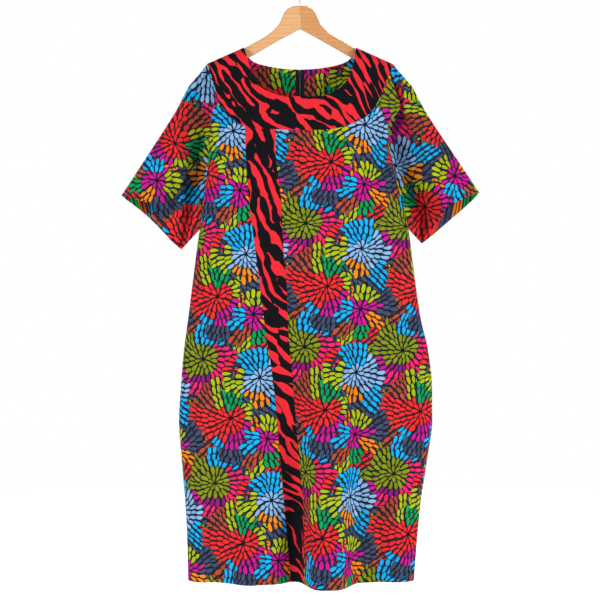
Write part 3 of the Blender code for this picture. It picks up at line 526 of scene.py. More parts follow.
def shell(name, points, normals, own, print_at, seams, hems, ring=False, print_back=None, bottom=0):
    """A thin closed shell under a grid of outer points.

    seams and hems name the grid's edges.  print_at gives the print's place at each point,
    print_back the one for the rear half of a ring, past the column "bottom".
    """
    rows, columns = points.shape[:2]
    run = edge_runs(points)
    far = np.full((rows, columns), NO_EDGE)
    seam = np.minimum.reduce([far] + [run[e] for e in seams])
    hem = np.minimum.reduce([far] + [run[e] for e in hems])
    deep = HEM_DEEP / MM
    thick = CLOTH + HEM_EXTRA * soft_step((deep + HEM_STEP[0] - hem) / HEM_STEP[1])
    if hems:
        thick = thick * (HEM_EDGE[1] + (1 - HEM_EDGE[1]) * soft_step(hem / HEM_EDGE[0]))
    lean = np.maximum(np.sum(normals * own, axis=-1, keepdims=True), 0.5)
    crease = HEM_CREASE[0] * MM * np.exp(-((hem - deep) / HEM_CREASE[1]) ** 2)
    outer = points - normals * crease[..., None]
    inner = points - normals * thick[..., None] / lean

    mark = np.arange(rows * columns).reshape(rows, columns)
    size = mark.size
    here = np.arange(columns if ring else columns - 1)
    after = (here + 1) % columns
    i, j = (g.ravel() for g in np.meshgrid(np.arange(rows - 1), here, indexing="ij"))
    k = (j + 1) % columns
    quad = [mark[i, j], mark[i + 1, j], mark[i + 1, k], mark[i, k]]
    rims = [(mark[0, here], mark[0, after]), (mark[-1, after], mark[-1, here])]
    if not ring:
        rims += [(mark[1:, 0], mark[:-1, 0]), (mark[:-1, -1], mark[1:, -1])]
    faces = [np.stack(quad, axis=-1), np.stack([quad[0], *quad[:0:-1]], axis=-1) + size]
    faces += [np.stack([a, b, b + size, a + size], axis=-1) for a, b in rims]
    faces = np.concatenate(faces)
    data = bpy.data.meshes.new(name)
    data.from_pydata(np.concatenate([outer.reshape(-1, 3), inner.reshape(-1, 3)]), [], faces.tolist())
    data.update()

    corner = faces.ravel()
    uv = np.concatenate([print_at.reshape(-1, 2)] * 2)[corner]
    if print_back is not None:
        rear = np.concatenate([print_back.reshape(-1, 2)] * 2)
        column = (faces % size) % columns
        low, high = column.min(axis=1), column.max(axis=1)
        behind = (low >= bottom) | ((low == 0) & (high == columns - 1))
        behind = np.repeat(behind, faces.shape[1])
        uv = np.where(behind[:, None], rear[corner], uv)
    layer = data.uv_layers.new(name="print")
    layer.data.foreach_set("uv", (uv / UV_UNIT).astype(np.float32).ravel())
    for label, values in (("seam", seam), ("hem", hem)):
        attribute = data.attributes.new(label, "FLOAT", "POINT")
        both = np.concatenate([values.ravel()] * 2)
        attribute.data.foreach_set("value", both.astype(np.float32))
    data.shade_smooth()
    data.set_sharp_from_angle(angle=math.radians(50))
    return add_object(data)


# Colours of the print and the stripes, as sRGB hex
PALETTE = {
    "red": "E82B2B", "rose": "E52366", "magenta": "C3148F", "purple": "8E1478", "lime": "A9BA12",
    "olive": "828F10", "green": "059A55", "cyan": "12ACEE", "sky": "86B2E0", "slate": "404A65",
    "rust": "AE4A30", "orange": "F4880F", "ground": "2B3346", "line": "0D0F1C",
    "zebra_red": "EA2934", "zebra_dark": "0B0B12",
}
UV_UNIT = 100.0  # millimetres of cloth in one unit of the print's layout


def colour(name):
    """A palette colour in linear light."""
    parts = [part / 255 for part in bytes.fromhex(PALETTE[name])]
    return [c / 12.92 if c <= 0.04045 else ((c + 0.055) / 1.055) ** 2.4 for c in parts] + [1.0]


def operator(name):
    return lambda self, *others: self.do(name, *others)


class Num:
    """A number in a shader, so that its formulas read as formulas."""

    def __init__(self, tree, socket):
        self.tree, self.socket = tree, socket

    def do(self, operation, *others):
        node = self.tree.nodes.new("ShaderNodeMath")
        node.operation = operation
        for slot, value in zip(node.inputs, (self, *others)):
            plug(self.tree, slot, value)
        return Num(self.tree, node.outputs[0])

    __add__ = __radd__ = operator("ADD")
    __sub__ = operator("SUBTRACT")
    __mul__ = __rmul__ = operator("MULTIPLY")
    __truediv__ = operator("DIVIDE")
    __lt__ = operator("LESS_THAN")
    __gt__ = operator("GREATER_THAN")
    __abs__ = operator("ABSOLUTE")

    def __rsub__(self, other):
        return self * -1 + other


def plug(tree, slot, value):
    """Links a shader value to an input, or sets the input to a plain value."""
    value = value.socket if isinstance(value, Num) else value
    if isinstance(value, bpy.types.NodeSocket):
        tree.links.new(value, slot)
    else:
        slot.default_value = value


def add_node(tree, kind, **values):
    node = tree.nodes.new(kind)
    for key, value in values.items():
        if key in node.inputs:
            plug(tree, node.inputs[key], value)
        else:
            setattr(node, key, value)
    return node


def vector(tree, x, y, z=0.0):
    return add_node(tree, "ShaderNodeCombineXYZ", X=x, Y=y, Z=z).outputs[0]


def noise(tree, where, scale, detail=2.0, roughness=0.5):
    """A noise with values around 0.5, and with colours of its own."""
    return add_node(
        tree, "ShaderNodeTexNoise", Vector=where, Scale=scale, Detail=detail, Roughness=roughness
    )


def mix(tree, a, b, share):
    node = tree.nodes.new("ShaderNodeMix")
    node.data_type = "RGBA"
    for slot, value in ((0, share), (6, a), (7, b)):
        plug(tree, node.inputs[slot], value)
    return node.outputs[2]


def print_place(tree):
    """The print's coordinates in millimetres."""
    uv = add_node(tree, "ShaderNodeUVMap", uv_map="print")
    parts = add_node(tree, "ShaderNodeSeparateXYZ", Vector=uv.outputs[0])
    return Num(tree, parts.outputs[0]) * UV_UNIT, Num(tree, parts.outputs[1]) * UV_UNIT


def print_group(name):
    """A new node group that gives a colour, and its output."""
    tree = bpy.data.node_groups.new(name, "ShaderNodeTree")
    tree.interface.new_socket("Color", in_out="OUTPUT", socket_type="NodeSocketColor")
    return tree, tree.nodes.new("NodeGroupOutput").inputs["Color"]


# The floral repeat, and its petals
REPEAT = (219.0, 263.0)
RING = 15.0  # from one ring of petals to the next
PETAL = (20.5, 3.9)  # length, half width at its widest
PETAL_PITCH = 11.4  # from petal to petal around a ring
PETAL_WIDEST = 0.68  # how far along a petal
OUTLINE = 2.1  # the dark line around a petal
LINE_LEAST = 1.4  # half of the dark line between two petals
PETAL_LEAST = 8.0  # the fewest petals in a ring
PETAL_SHORTER = 0.14  # how much shorter some are
PETAL_SWELL = 0.37  # what the formula of a petal's width reaches at most
PETAL_BEND = 7.0  # how far some bend sideways
PETAL_SHADES = (0.86, 0.24)  # the least brightness, and how much is added to some
RING_SHIFT = 0.47  # how far a ring's petals are shifted against the next, in petals
ZONE_NUDGE = 0.0013  # keeps a petal's middle off the ends of a zone, in turns
TIPS_SHOW = 4.0  # how much of the last ring's tips lies over the bursts below
PRINT_WANDER = 16.0  # how far the whole print wanders off its repeat

# Bursts: place in the repeat (mm), swirl (turns a metre), seed, how many rings, and for each
# ring the colours around it, each after the turn where it starts
BURSTS = [
    {
        "at": (22, -206), "swirl": 0.3, "seed": 0.37, "rings": 30,
        "zones": [
            "0 slate",
            "0 slate, 0.3 rust, 0.5 slate",
            "0 slate, 0.18 rust, 0.34 slate, 0.6 orange, 0.74 lime, 0.92 slate",
            "0 slate, 0.12 rust, 0.22 slate, 0.45 cyan, 0.52 slate, 0.75 lime, 0.84 slate, "
            "0.93 red",
            "0 rust, 0.08 slate, 0.12 olive, 0.16 red, 0.2 lime, 0.27 slate, 0.36 red, "
            "0.42 slate, 0.55 lime, 0.62 rust, 0.7 slate, 0.8 orange, 0.86 slate, 0.94 cyan",
        ],
    },
    {
        "at": (-48, -131), "swirl": 0.6, "seed": 0.63, "rings": 5,
        "zones": [
            "0 olive",
            "0 olive",
            "0 rose, 0.14 cyan, 0.32 olive, 0.65 purple, 0.8 rose",
            "0 rose, 0.12 cyan, 0.33 olive, 0.56 magenta, 0.68 rose",
            "0 rose, 0.08 none, 0.19 cyan, 0.3 none, 0.36 olive, 0.42 none, 0.7 rose, "
            "0.83 lime, 0.9 rose",
        ],
    },
    {
        "at": (0, 0), "swirl": 0.35, "seed": 0.11, "rings": 6,
        "zones": [
            "0 red",
            "0 red, 0.17 green, 0.29 red",
            "0 lime, 0.11 green, 0.31 lime, 0.37 red, 0.71 magenta, 0.98 lime",
            "0 none, 0.15 green, 0.31 lime, 0.36 rust, 0.43 red, 0.62 cyan, 0.7 magenta, "
            "0.85 none",
            "0 none, 0.19 green, 0.27 none, 0.31 lime, 0.35 rust, 0.45 red, 0.56 none, "
            "0.69 slate, 0.82 none",
        ],
    },
    {
        "at": (71, 82), "swirl": -0.45, "seed": 0.29, "rings": 5,
        "zones": [
            "0 sky",
            "0 sky, 0.1 cyan, 0.4 sky",
            "0 sky, 0.11 cyan, 0.39 lime, 0.52 sky, 0.59 orange, 0.76 sky",
            "0 none, 0.14 cyan, 0.36 none, 0.45 lime, 0.56 none, 0.66 orange, 0.78 cyan, "
            "0.88 sky, 0.97 none",
            "0 none, 0.34 red, 0.42 lime, 0.53 none, 0.8 cyan, 0.86 none",
        ],
    },
    {
        "at": (75, -47), "swirl": -0.3, "seed": 0.81, "rings": 5,
        "zones": [
            "0 magenta",
            "0 magenta, 0.06 lime, 0.29 magenta, 0.4 cyan, 0.6 magenta, 0.82 orange, "
            "0.93 magenta",
            "0 slate, 0.08 lime, 0.27 none, 0.42 cyan, 0.59 rust, 0.68 green, 0.8 orange, "
            "0.93 slate",
            "0 slate, 0.09 none, 0.49 cyan, 0.57 rust, 0.66 none, 0.7 green, 0.78 none, "
            "0.83 orange, 0.89 none, 0.93 slate",
            "0 slate, 0.1 none, 0.58 rust, 0.63 none, 0.96 slate",
        ],
    },
]


def zone_colours(tree, zones, at):
    """The colour of a petal from its zone and direction, with alpha 0 where there is none."""
    ramp = add_node(tree, "ShaderNodeValToRGB", Fac=at)
    band = ramp.color_ramp
    band.interpolation = "CONSTANT"
    stops = []
    for n, zone in enumerate(zones):
        for turn, name in (stop.split() for stop in zone.split(", ")):
            stops.append(((n + float(turn)) / len(zones), name))
    while len(band.elements) < len(stops):
        band.elements.new(1.0)
    for element, (place, name) in zip(band.elements, stops):
        element.position = place
        element.color = (0, 0, 0, 0) if name == "none" else colour(name)
    return ramp.outputs["Color"], Num(tree, ramp.outputs["Alpha"])


def burst_zone(tree, burst, ring, turn):
    """The colour that a ring has in one direction, and whether it has any."""
    count = len(burst["zones"])
    zone = ring.do("MINIMUM", count - 1.0)
    tone, there = zone_colours(tree, burst["zones"], (zone + turn) * (1 / count))
    return tone, there * (ring > -0.5) * (ring < burst["rings"] - 0.5)


def petal(tree, burst, r, turn, ring):
    """One ring's nearest petal: its colour, and whether it or its outline covers the point."""
    count = (ring * RING + PETAL[0] * PETAL_WIDEST) * (2 * math.pi / PETAL_PITCH)
    count = count.do("ROUND").do("MAXIMUM", PETAL_LEAST)
    offset = ring * RING_SHIFT + burst["seed"]
    place = turn * count + offset
    index = place.do("ROUND")
    off = (place - index) / count * (r * (2 * math.pi))
    middle = ((index - offset) / count + ZONE_NUDGE).do("FRACT")
    chance = add_node(
        tree, "ShaderNodeTexWhiteNoise", noise_dimensions="2D",
        Vector=vector(tree, (middle * count).do("ROUND"), ring + burst["seed"] * 90),
    )
    chance = Num(tree, chance.outputs["Value"])
    u = (r - ring * RING) / PETAL[0]
    to_tip = chance * PETAL_SHORTER + (1 - PETAL_SHORTER) - u
    width = u.do("MAXIMUM", 0.0) * to_tip.do("MAXIMUM", 0.0).do("SQRT")
    width = width * (PETAL[1] / PETAL_SWELL)
    width = width.do("MINIMUM", (r * math.pi) / count - LINE_LEAST)
    off = off + (u * (1.0 - u)) * (chance - 0.5) * PETAL_BEND
    past_tip = (to_tip * -PETAL[0]).do("MAXIMUM", 0.0)
    gap = abs(off) - width + past_tip
    tone, there = burst_zone(tree, burst, ring, middle)
    bright = add_node(tree, "ShaderNodeHueSaturation", Color=tone)
    plug(tree, bright.inputs["Value"], chance * PETAL_SHADES[1] + PETAL_SHADES[0])
    return mix(tree, colour("line"), bright.outputs[0], gap < 0.0), there * (gap < OUTLINE)


def burst_layers(tree, burst, x, y):
    """A burst's layers, lowest first: the ground between its petals, then two rings.

    Each is a colour, whether it covers the point, and whether it is near the middle.
    """
    dx, dy = x - burst["at"][0], y - burst["at"][1]
    dx = dx - (dx / REPEAT[0]).do("ROUND") * REPEAT[0]
    dy = dy - (dy / REPEAT[1]).do("ROUND") * REPEAT[1]
    r = (dx * dx + dy * dy).do("SQRT")
    turn = dy.do("ARCTAN2", dx) / (2 * math.pi) + r * (burst["swirl"] * MM)
    deeper = ((r + TIPS_SHOW) / RING).do("FLOOR")
    inside = burst_zone(tree, burst, deeper, turn.do("FRACT"))[1]
    layers = [(colour("ground"), inside, deeper < 1.5)]
    ring = (r / RING).do("FLOOR")
    for k in (ring, ring - 1.0):
        layers.append((*petal(tree, burst, r, turn, k), k < 1.5))
    return layers


def floral_group():
    """The floral print as a node group that gives its colour."""
    tree, out = print_group("petal bursts")
    x, y = print_place(tree)
    wander = noise(tree, vector(tree, x, y), 0.021, 1.0)
    parts = add_node(tree, "ShaderNodeSeparateColor", Color=wander.outputs["Color"])
    x = x + (Num(tree, parts.outputs[0]) - 0.5) * PRINT_WANDER
    y = y + (Num(tree, parts.outputs[1]) - 0.5) * PRINT_WANDER
    layers = []
    centres = []
    for n, burst in enumerate(BURSTS):
        for tone, there, central in burst_layers(tree, burst, x, y):
            layers.append((tone, there))
            if n:
                centres.append((tone, there * central))
    result = colour("ground")
    for tone, there in layers + centres:
        result = mix(tree, result, tone, there)
    tree.links.new(result, out)
    return tree


# The stripes: distance from stripe to stripe, how far they wander and waver
STRIPE = 25.0
STRIPE_WANDER = 44.0
STRIPE_WAVER = 22.0
STRIPE_TAPER = 2.2  # how much the dark stripes swell and thin
STRIPE_LEVEL = 0.68  # how far the dark reaches from its middle, with 1 at the red's middle
YOKE_STRETCH = (1.15, 0.4)  # along the yoke's stripes: shares of across and of drop
YOKE_OVER = 0.8  # the same over them: under 1 sets the stripes wider apart

# The stripes' lean: across the yoke, degrees below level
YOKE_LEAN = [(-205, 54), (-120, 46), (-40, 30), (30, 24), (90, 42), (140, 60), (205, 64)]

# The same down the strip: drop, degrees from upright
STRIP_LEAN = [
    (330, 4), (520, 12), (660, 22), (700, 46), (790, 56), (890, 62), (960, 26), (1030, 34),
    (1080, 70), (1150, 66), (1205, 22), (1262, 44), (1304, 62),
]
STRIP_APART = 400  # keeps the strip's stripes clear of the yoke's

# Where a stripe forks, and which way: across, drop, 1 or -1
YOKE_FORKS = [
    (-168, 212, 1), (-150, 262, -1), (-118, 232, 1), (-96, 288, -1), (-62, 306, 1), (-30, 296, -1),
    (8, 318, 1), (40, 288, 1), (66, 312, -1), (98, 300, 1), (112, 268, -1), (136, 244, 1),
    (150, 206, -1), (168, 232, 1),
]
STRIP_FORKS = [
    (-12, 372, 1), (14, 420, -1), (-10, 486, 1), (16, 540, -1), (-6, 602, 1), (12, 656, 1),
    (-14, 720, -1), (8, 776, 1), (-8, 838, -1), (14, 880, 1), (-10, 940, -1), (6, 1002, 1),
    (-12, 1064, 1), (10, 1112, -1), (-4, 1180, 1), (8, 1240, -1),
]


def yoke_stripes(across, drop):
    """The stripes' place on the yoke in millimetres: along them and over them."""
    places = np.linspace(YOKE_LEAN[0][0], YOKE_LEAN[-1][0], 400)
    slope = np.tan(np.radians(table(YOKE_LEAN, 1, places)))
    fall = np.cumsum(slope) * (places[1] - places[0])
    over = (np.interp(across, places, fall - fall.mean()) - drop) * YOKE_OVER
    along = across * YOKE_STRETCH[0] + drop * YOKE_STRETCH[1]
    return np.stack([along, over], axis=-1)


def strip_stripes(across, drop):
    """The same on the strip, from its middle, where their direction turns on the way down."""
    levels = np.linspace(STRIP_LEAN[0][0], STRIP_LEAN[-1][0], 400)
    lean = np.radians(table(STRIP_LEAN, 1, levels))
    step = levels[1] - levels[0]
    turn = np.radians(table(STRIP_LEAN, 1, drop))
    over = across * np.cos(turn) - np.interp(drop, levels, np.cumsum(np.sin(lean)) * step)
    along = across * np.sin(turn) + np.interp(drop, levels, np.cumsum(np.cos(lean)) * step)
    return np.stack([along + STRIP_APART, over], axis=-1)


def zebra_group():
    """Tapered, forking animal stripes along the first coordinate."""
    tree, out = print_group("animal stripes")
    x, y = print_place(tree)
    broad = noise(tree, vector(tree, x * 0.7, y), 0.013, 1.0)
    fine = noise(tree, vector(tree, x * 0.5, y), 0.045, 2.0)
    swing = (Num(tree, broad.outputs[0]) - 0.5) * STRIPE_WANDER
    swing = swing + (Num(tree, fine.outputs[0]) - 0.5) * STRIPE_WAVER
    phase = (y + swing) / STRIPE
    for forks, laid in ((YOKE_FORKS, yoke_stripes), (STRIP_FORKS, strip_stripes)):
        for across, drop, way in forks:
            along, over = laid(np.float64(across), np.float64(drop))
            turn = (y - float(over)).do("ARCTAN2", x - float(along))
            phase = phase + turn * (way / (2 * math.pi))
    saw = abs(phase.do("FRACT") - 0.5) * 2.0
    taper = noise(tree, vector(tree, x * 0.55, y, 7.0), 0.034, 1.5)
    level = (Num(tree, taper.outputs[0]) - 0.5) * STRIPE_TAPER + STRIPE_LEVEL
    tree.links.new(mix(tree, colour("zebra_dark"), colour("zebra_red"), saw > level), out)
    return tree


def plain_material(name, tone, roughness, **others):
    """A new material.  The other inputs' names have an underscore for each space."""
    material = bpy.data.materials.new(name)
    material.use_nodes = True
    shader = material.node_tree.nodes["Principled BSDF"]
    for key, value in {"Base Color": (*tone, 1), "Roughness": roughness, **others}.items():
        shader.inputs[key.replace("_", " ")].default_value = value
    return material, material.node_tree, shader


def relief(tree, shader, height, distance, strength=1.0):
    """Bumps in a material's surface, as high as the distance in metres."""
    bump = add_node(tree, "ShaderNodeBump", Height=height, Distance=distance, Strength=strength)
    tree.links.new(bump.outputs[0], shader.inputs["Normal"])


# The cotton's finish, in millimetres
WEAVE = 9.0  # radians of the weave's wave in a millimetre
SEAM_DIP = 2.4  # how far from a seam the cloth dips
STITCH_UP = (21.0, 0.45)  # the hem's stitching: height above the edge, half width
STITCH_LONG = (3.0, 0.7)  # from stitch to stitch, and the share that a stitch takes


def cloth_material(name, group):
    """Matte cotton with a print, a fine weave, and seams that dip."""
    material, tree, shader = plain_material(
        name, (0.8, 0.8, 0.8), 0.82, Specular_IOR_Level=0.12, Sheen_Weight=0.02, Sheen_Roughness=0.4
    )
    pattern = add_node(tree, "ShaderNodeGroup", node_tree=group)
    x, y = print_place(tree)
    cloud = Num(tree, noise(tree, vector(tree, x, y), 0.11, 3.0, 0.6).outputs[0])
    tone = add_node(tree, "ShaderNodeHueSaturation", Color=pattern.outputs[0])
    plug(tree, tone.inputs["Value"], (cloud - 0.5) * 0.34 + 1.0)
    tree.links.new(tone.outputs[0], shader.inputs["Base Color"])
    weave = (x * WEAVE).do("SINE") * (y * WEAVE).do("SINE")
    seam, hem = (
        Num(tree, add_node(tree, "ShaderNodeAttribute", attribute_name=edge).outputs["Fac"])
        for edge in ("seam", "hem")
    )
    near = (seam / SEAM_DIP).do("MINIMUM", 1.0)
    stitch = abs(hem - STITCH_UP[0]) < STITCH_UP[1]
    stitch = stitch * (((x + y * 0.3) / STITCH_LONG[0]).do("FRACT") < STITCH_LONG[1])
    relief(tree, shader, weave * 0.05 + near * 0.7 + stitch * 0.25 + cloud * 0.5, 0.001, 0.6)
    return material


def keep(piece, material, slot):
    """Dresses a cloth piece, which stands for the solid of its name."""
    piece.data.materials.append(material)
    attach(piece, "dress")
    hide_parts(piece.name.replace("_cloth", ""))


# Directions at the armhole rings, which the sleeves and the body share, by their points
ARM_NORMALS = {}


def body_piece(name, side, grid, seams, hems, print_at, shoulders=()):
    """One body panel from a grid of (place, drop) pairs."""
    place, drop = grid[..., 0], grid[..., 1]
    points = body(side, place, drop)
    own = body_normal(side, place, drop)
    normals = own.copy()
    for where, sign in shoulders:
        own[where] = normals[where] = shoulder_normal(sign)
    keys = np.round(points, 6)
    rows, columns = place.shape
    rim = [(i, j) for i in (0, rows - 1) for j in range(columns)]
    rim += [(i, j) for i in range(rows) for j in (0, columns - 1)]
    for i, j in rim:
        shared = ARM_NORMALS.get(tuple(keys[i, j]))
        if shared is not None:
            normals[i, j] = shared
    draw_in(points, normals, seams)
    return shell(name + "_cloth", points, normals, own, print_at, seams, hems)


def armhole(cut, hand):
    """The armhole seam once around: front from the shoulder down, then up the back."""
    side = "left" if hand < 0 else "right"
    upper = cut.arm_left if hand < 0 else cut.outer[::-1][: YOKE_TIP + 1]
    front = np.concatenate([upper, cut.sides["front_" + side][1 : ARM_ROWS + 1]])
    rear = cut.sides["back_" + side][1 : ARM_ROWS + YOKE_ARM][::-1]
    halves = ((-1, *front.T), (1, *rear.T))
    points, own = (np.concatenate([give(*half) for half in halves]) for give in (body, body_normal))
    own[0] = shoulder_normal(hand)
    return points, own, len(front) - 1


def sleeve_grid(cut, hand, rows):
    """Outer points of a sleeve, from its armhole ring to its cuff ring."""
    ring, own, bottom = armhole(cut, hand)
    count = len(ring)
    around = np.concatenate(
        [np.linspace(0, 0.5, bottom + 1), np.linspace(0.5, 1, count - bottom + 1)[1:-1]]
    )
    marks = np.array(CUFF_LEFT if hand < 0 else CUFF_RIGHT)
    fine = through(marks[:, 1:], closed=True)
    keys = np.append(marks[:, 0], 1.0)
    at = [np.linspace(a, b, PER_SPAN + 1)[:-1] for a, b in zip(keys[:-1], keys[1:])]
    cuff = read_off(around, np.append(np.concatenate(at), 1.0), np.concatenate([fine, fine[:1]]))
    cuff = np.stack([cuff[:, 0], cuff[:, 2], -cuff[:, 1]], axis=-1) * MM
    b = np.linspace(0, 1, rows + 1)[:, None, None]
    grid = (1 - b) * ring[None] + b * cuff[None]
    b = b[..., 0]
    for middle, wide, along, long_, out, deep in SLEEVE_FORMS:
        gap = np.abs(around - middle)
        gap = np.minimum(gap, 1 - gap)[None]
        fade = np.minimum(1, np.minimum(b, 1 - b) * 6)
        swell = np.exp(-((gap / wide) ** 2) - ((b - along) / long_) ** 2) * fade
        grid[..., 0] += hand * out * MM * swell
        grid[..., 1] += deep * MM * swell
    front = np.arange(count) <= bottom
    past = (table(CRESTS[hand], 1, -grid[..., 2] / MM) * MM - grid[..., 0]) * hand
    from_seam = np.linalg.norm(grid - grid[:1], axis=-1)
    near_ends = soft_step(from_seam / FALL_BELOW_SEAM) * soft_step((1 - b) / FALL_ABOVE_CUFF)
    start, over = FALL_FROM_FOLD
    from_fold = soft_step((around - start) / over) * soft_step((0.5 - around) / over)
    share = front * near_ends * from_fold
    back = CREST_FALL * soft_step(past / CREST_EDGE)
    back -= CREST_RISE * np.exp(-(((past + CREST_RIDGE[0]) / CREST_RIDGE[1]) ** 2))
    old = grid[..., 1]
    moved = old + back * share
    rear = np.array([np.interp(1 - around, np.append(around, 1), np.append(r, r[0])) for r in old])
    room = -SLEEVE_EASE * np.logaddexp(-moved / SLEEVE_EASE, -(rear - SLEEVE_ROOM) / SLEEVE_EASE)
    grid[..., 1] = np.minimum(moved, old) + np.where(moved > old, np.maximum(room - old, 0), 0)
    return grid, own, bottom


def ring_normals(grid, hand):
    """Outward directions of a sleeve's cloth."""
    along = np.gradient(grid, axis=0)
    around = (np.roll(grid, -1, axis=1) - np.roll(grid, 1, axis=1)) / 2
    return unit(np.cross(along, around)) * -hand


def sleeve_print(grid, lean, anchor, shown):
    """The print's place on a sleeve: front half, and rear half mirrored about its fold."""
    front = turned(grid[..., 0], grid[..., 2], lean, anchor, shown)
    rear = front.copy()
    rear[..., 0] = 2 * front[:, :1, 0] - front[..., 0]
    return front, rear


def flat_size(points):
    """Width, length and area of a grid of cloth laid flat, in metres."""
    over = np.linalg.norm(np.diff(points, axis=1), axis=-1).sum(axis=1)
    down = np.linalg.norm(np.diff(points, axis=0), axis=-1).sum(axis=0)
    a = points[1:, 1:] - points[:-1, :-1]
    b = points[1:, :-1] - points[:-1, 1:]
    area = np.linalg.norm(np.cross(a, b), axis=-1).sum() / 2
    return float(over.max()), float(down.max()), float(area)


def declare(points, ring=False):
    """Works out a hung piece's flat width, length and area, and does nothing more with them."""
    closed = np.concatenate([points, points[:, :1]], axis=1) if ring else points
    wide, long_, area = flat_size(closed)
    wide, long_ = round(wide + 0.001, 3), round(long_ + 0.001, 3)
    area = round(min(area, wide * long_), 4)


def hem_line(left, right, count):
    """The hem between two places, as (place, drop) pairs."""
    place = np.linspace(left[0], right[0], count + 1)
    return np.stack([place, np.full(count + 1, HEM_DROP)], axis=-1)


PANEL_SEAMS = ("top", "left", "right")

# How the print lies.  Front: the place across that the flat cut is measured from, the
# grain's lean in degrees, and the point of the cut where the repeat's middle lies.  Back:
# the point of the repeat at the neck.  Sleeves: the lean, a point, and the point of the
# repeat that lies there.
FRONT_PRINT = {
    "front_left": (-0.140, 6.5, (-36, -693.5)),
    "front_right": (0.058, -1.2, (0, -672)),
}
STRIP_MIDDLE = -0.06
BACK_PRINT = {-1: (30, 40), 1: (150, 70)}
SLEEVE_PRINT = {
    "sleeve_left": (math.radians(-85), (-264.5, -368.9), (0, 0)),
    "sleeve_right": (math.radians(78), (331, -435.5), (75, -47)),
}


def make_sleeve_shapes(cut):
    """Each sleeve's grid, directions, shared ring directions and lowest column.

    The body's panels meet a sleeve in the shared directions, so they are kept.
    """
    sleeves = {}
    for hand, name in ((-1, "sleeve_left"), (1, "sleeve_right")):
        grid, body_side, bottom = sleeve_grid(cut, hand, SLEEVE_LONG)
        own = ring_normals(grid, hand)
        fold = unit((grid[1, bottom] - grid[0, bottom]) * [1, 0, 1])
        own[0, bottom] = [hand * fold[2], 0, -hand * fold[0]]
        shared = unit(own[0] + body_side)
        for point, normal in zip(grid[0], shared):
            ARM_NORMALS[tuple(np.round(point, 6))] = normal
        sleeves[name] = (grid, own, shared, bottom)
    return sleeves


def make_yoke(cut, zebra):
    """The front yoke.  Returns its two shoulder ends, which the backs meet."""
    deep = np.linspace(0, 1, YOKE_DEEP + 1)[:, None, None]
    yoke = (1 - deep) * cut.spokes[None, :, :2] + deep * cut.spokes[None, :, 2:]
    ends = {-1: in_place(1, yoke[:, 0]), 1: in_place(1, yoke[:, -1])}
    yoke = in_place(-1, yoke)
    points = body(-1, yoke[..., 0], yoke[..., 1])
    stripes = yoke_stripes(points[..., 0] / MM, -points[..., 2] / MM)
    piece = body_piece(
        "front_yoke", -1, yoke, ("left", "right", "bottom"), ("top",), stripes,
        shoulders=((np.s_[:, 0], -1), (np.s_[:, -1], 1)),
    )
    keep(piece, zebra, "zebra_cloth")
    declare(points)
    return ends


def make_fronts(cut, floral, zebra):
    for name, top, left, right, wide in (
        ("front_left", cut.left_top, cut.sides["front_left"], cut.strip_left, LEFT_WIDE),
        ("centre_strip", cut.strip_top, cut.strip_left, cut.strip_right, STRIP_WIDE),
        ("front_right", cut.right_top, cut.strip_right, cut.sides["front_right"], RIGHT_WIDE),
    ):
        grid = blend(top, hem_line(left[-1], right[-1], wide), left, right)
        place, drop = grid[..., 0], grid[..., 1]
        if name == "centre_strip":
            run = FlatCloth(-1, STRIP_MIDDLE).at(place, drop)
            middle = (run[:, :1] + run[:, -1:]) / 2
            print_at = strip_stripes((run - middle) / MM, drop / MM)
            look = (zebra, "zebra_cloth")
        else:
            start, lean, anchor = FRONT_PRINT[name]
            run = FlatCloth(-1, start).at(place, drop)
            print_at = turned(run, -drop, math.radians(lean), anchor)
            look = (floral, "floral_cloth")
        piece = body_piece(name, -1, grid, PANEL_SEAMS, ("bottom",), print_at)
        keep(piece, *look)
        declare(body(-1, place, drop))


def make_backs(cut, floral, ends):
    for hand, name in ((-1, "back_left"), (1, "back_right")):
        neck = cut.back_neck * [hand, 1]
        top = np.concatenate([in_place(1, neck), ends[hand][1:]])
        middle = in_place(1, np.stack([np.zeros(2), [neck[0, 1], HEM_DROP]], axis=-1))
        outer = cut.sides[name]
        outer[0] = top[-1]
        share = (outer[:, 1] - outer[0, 1]) / (HEM_DROP - outer[0, 1])
        centre = share[:, None] * (middle[1] - middle[0]) + middle[0]
        centre[:, 0] = place_of(1, 0.0, centre[:, 1])
        foot = hem_line(centre[-1], outer[-1], BACK_NECK + YOKE_DEEP)
        grid = blend(top, foot, centre, outer)
        place, drop = grid[..., 0], grid[..., 1]
        run = FlatCloth(1, 0.0).at(place, drop)
        print_at = turned(run, -drop, 0.0, (0, -230), BACK_PRINT[hand])
        piece = body_piece(
            name, 1, grid, PANEL_SEAMS, ("bottom",), print_at,
            shoulders=[(np.s_[0, BACK_NECK:], hand)],
        )
        keep(piece, floral, "floral_cloth")
        declare(body(1, place, drop))


def make_sleeves(sleeves, floral):
    for name, (whole, own, shared, bottom) in sleeves.items():
        front, rear = sleeve_print(whole, *SLEEVE_PRINT[name])
        normals = own.copy()
        normals[0] = shared
        ring = whole[0]
        along = unit(np.roll(ring, -1, axis=0) - np.roll(ring, 1, axis=0))
        grid = whole.copy()
        grid[0] = step_back(ring, grid[1], shared, along)
        piece = shell(
            name + "_cloth", grid, normals, own, front, ("top",), ("bottom",),
            ring=True, print_back=rear, bottom=bottom,
        )
        keep(piece, floral, "floral_cloth")
        declare(whole, ring=True)


def make_cloth():
    floral = cloth_material("floral_cotton", floral_group())
    zebra = cloth_material("striped_cotton", zebra_group())
    cut = Cut()
    sleeves = make_sleeve_shapes(cut)
    ends = make_yoke(cut, zebra)
    make_fronts(cut, floral, zebra)
    make_backs(cut, floral, ends)
    make_sleeves(sleeves, floral)


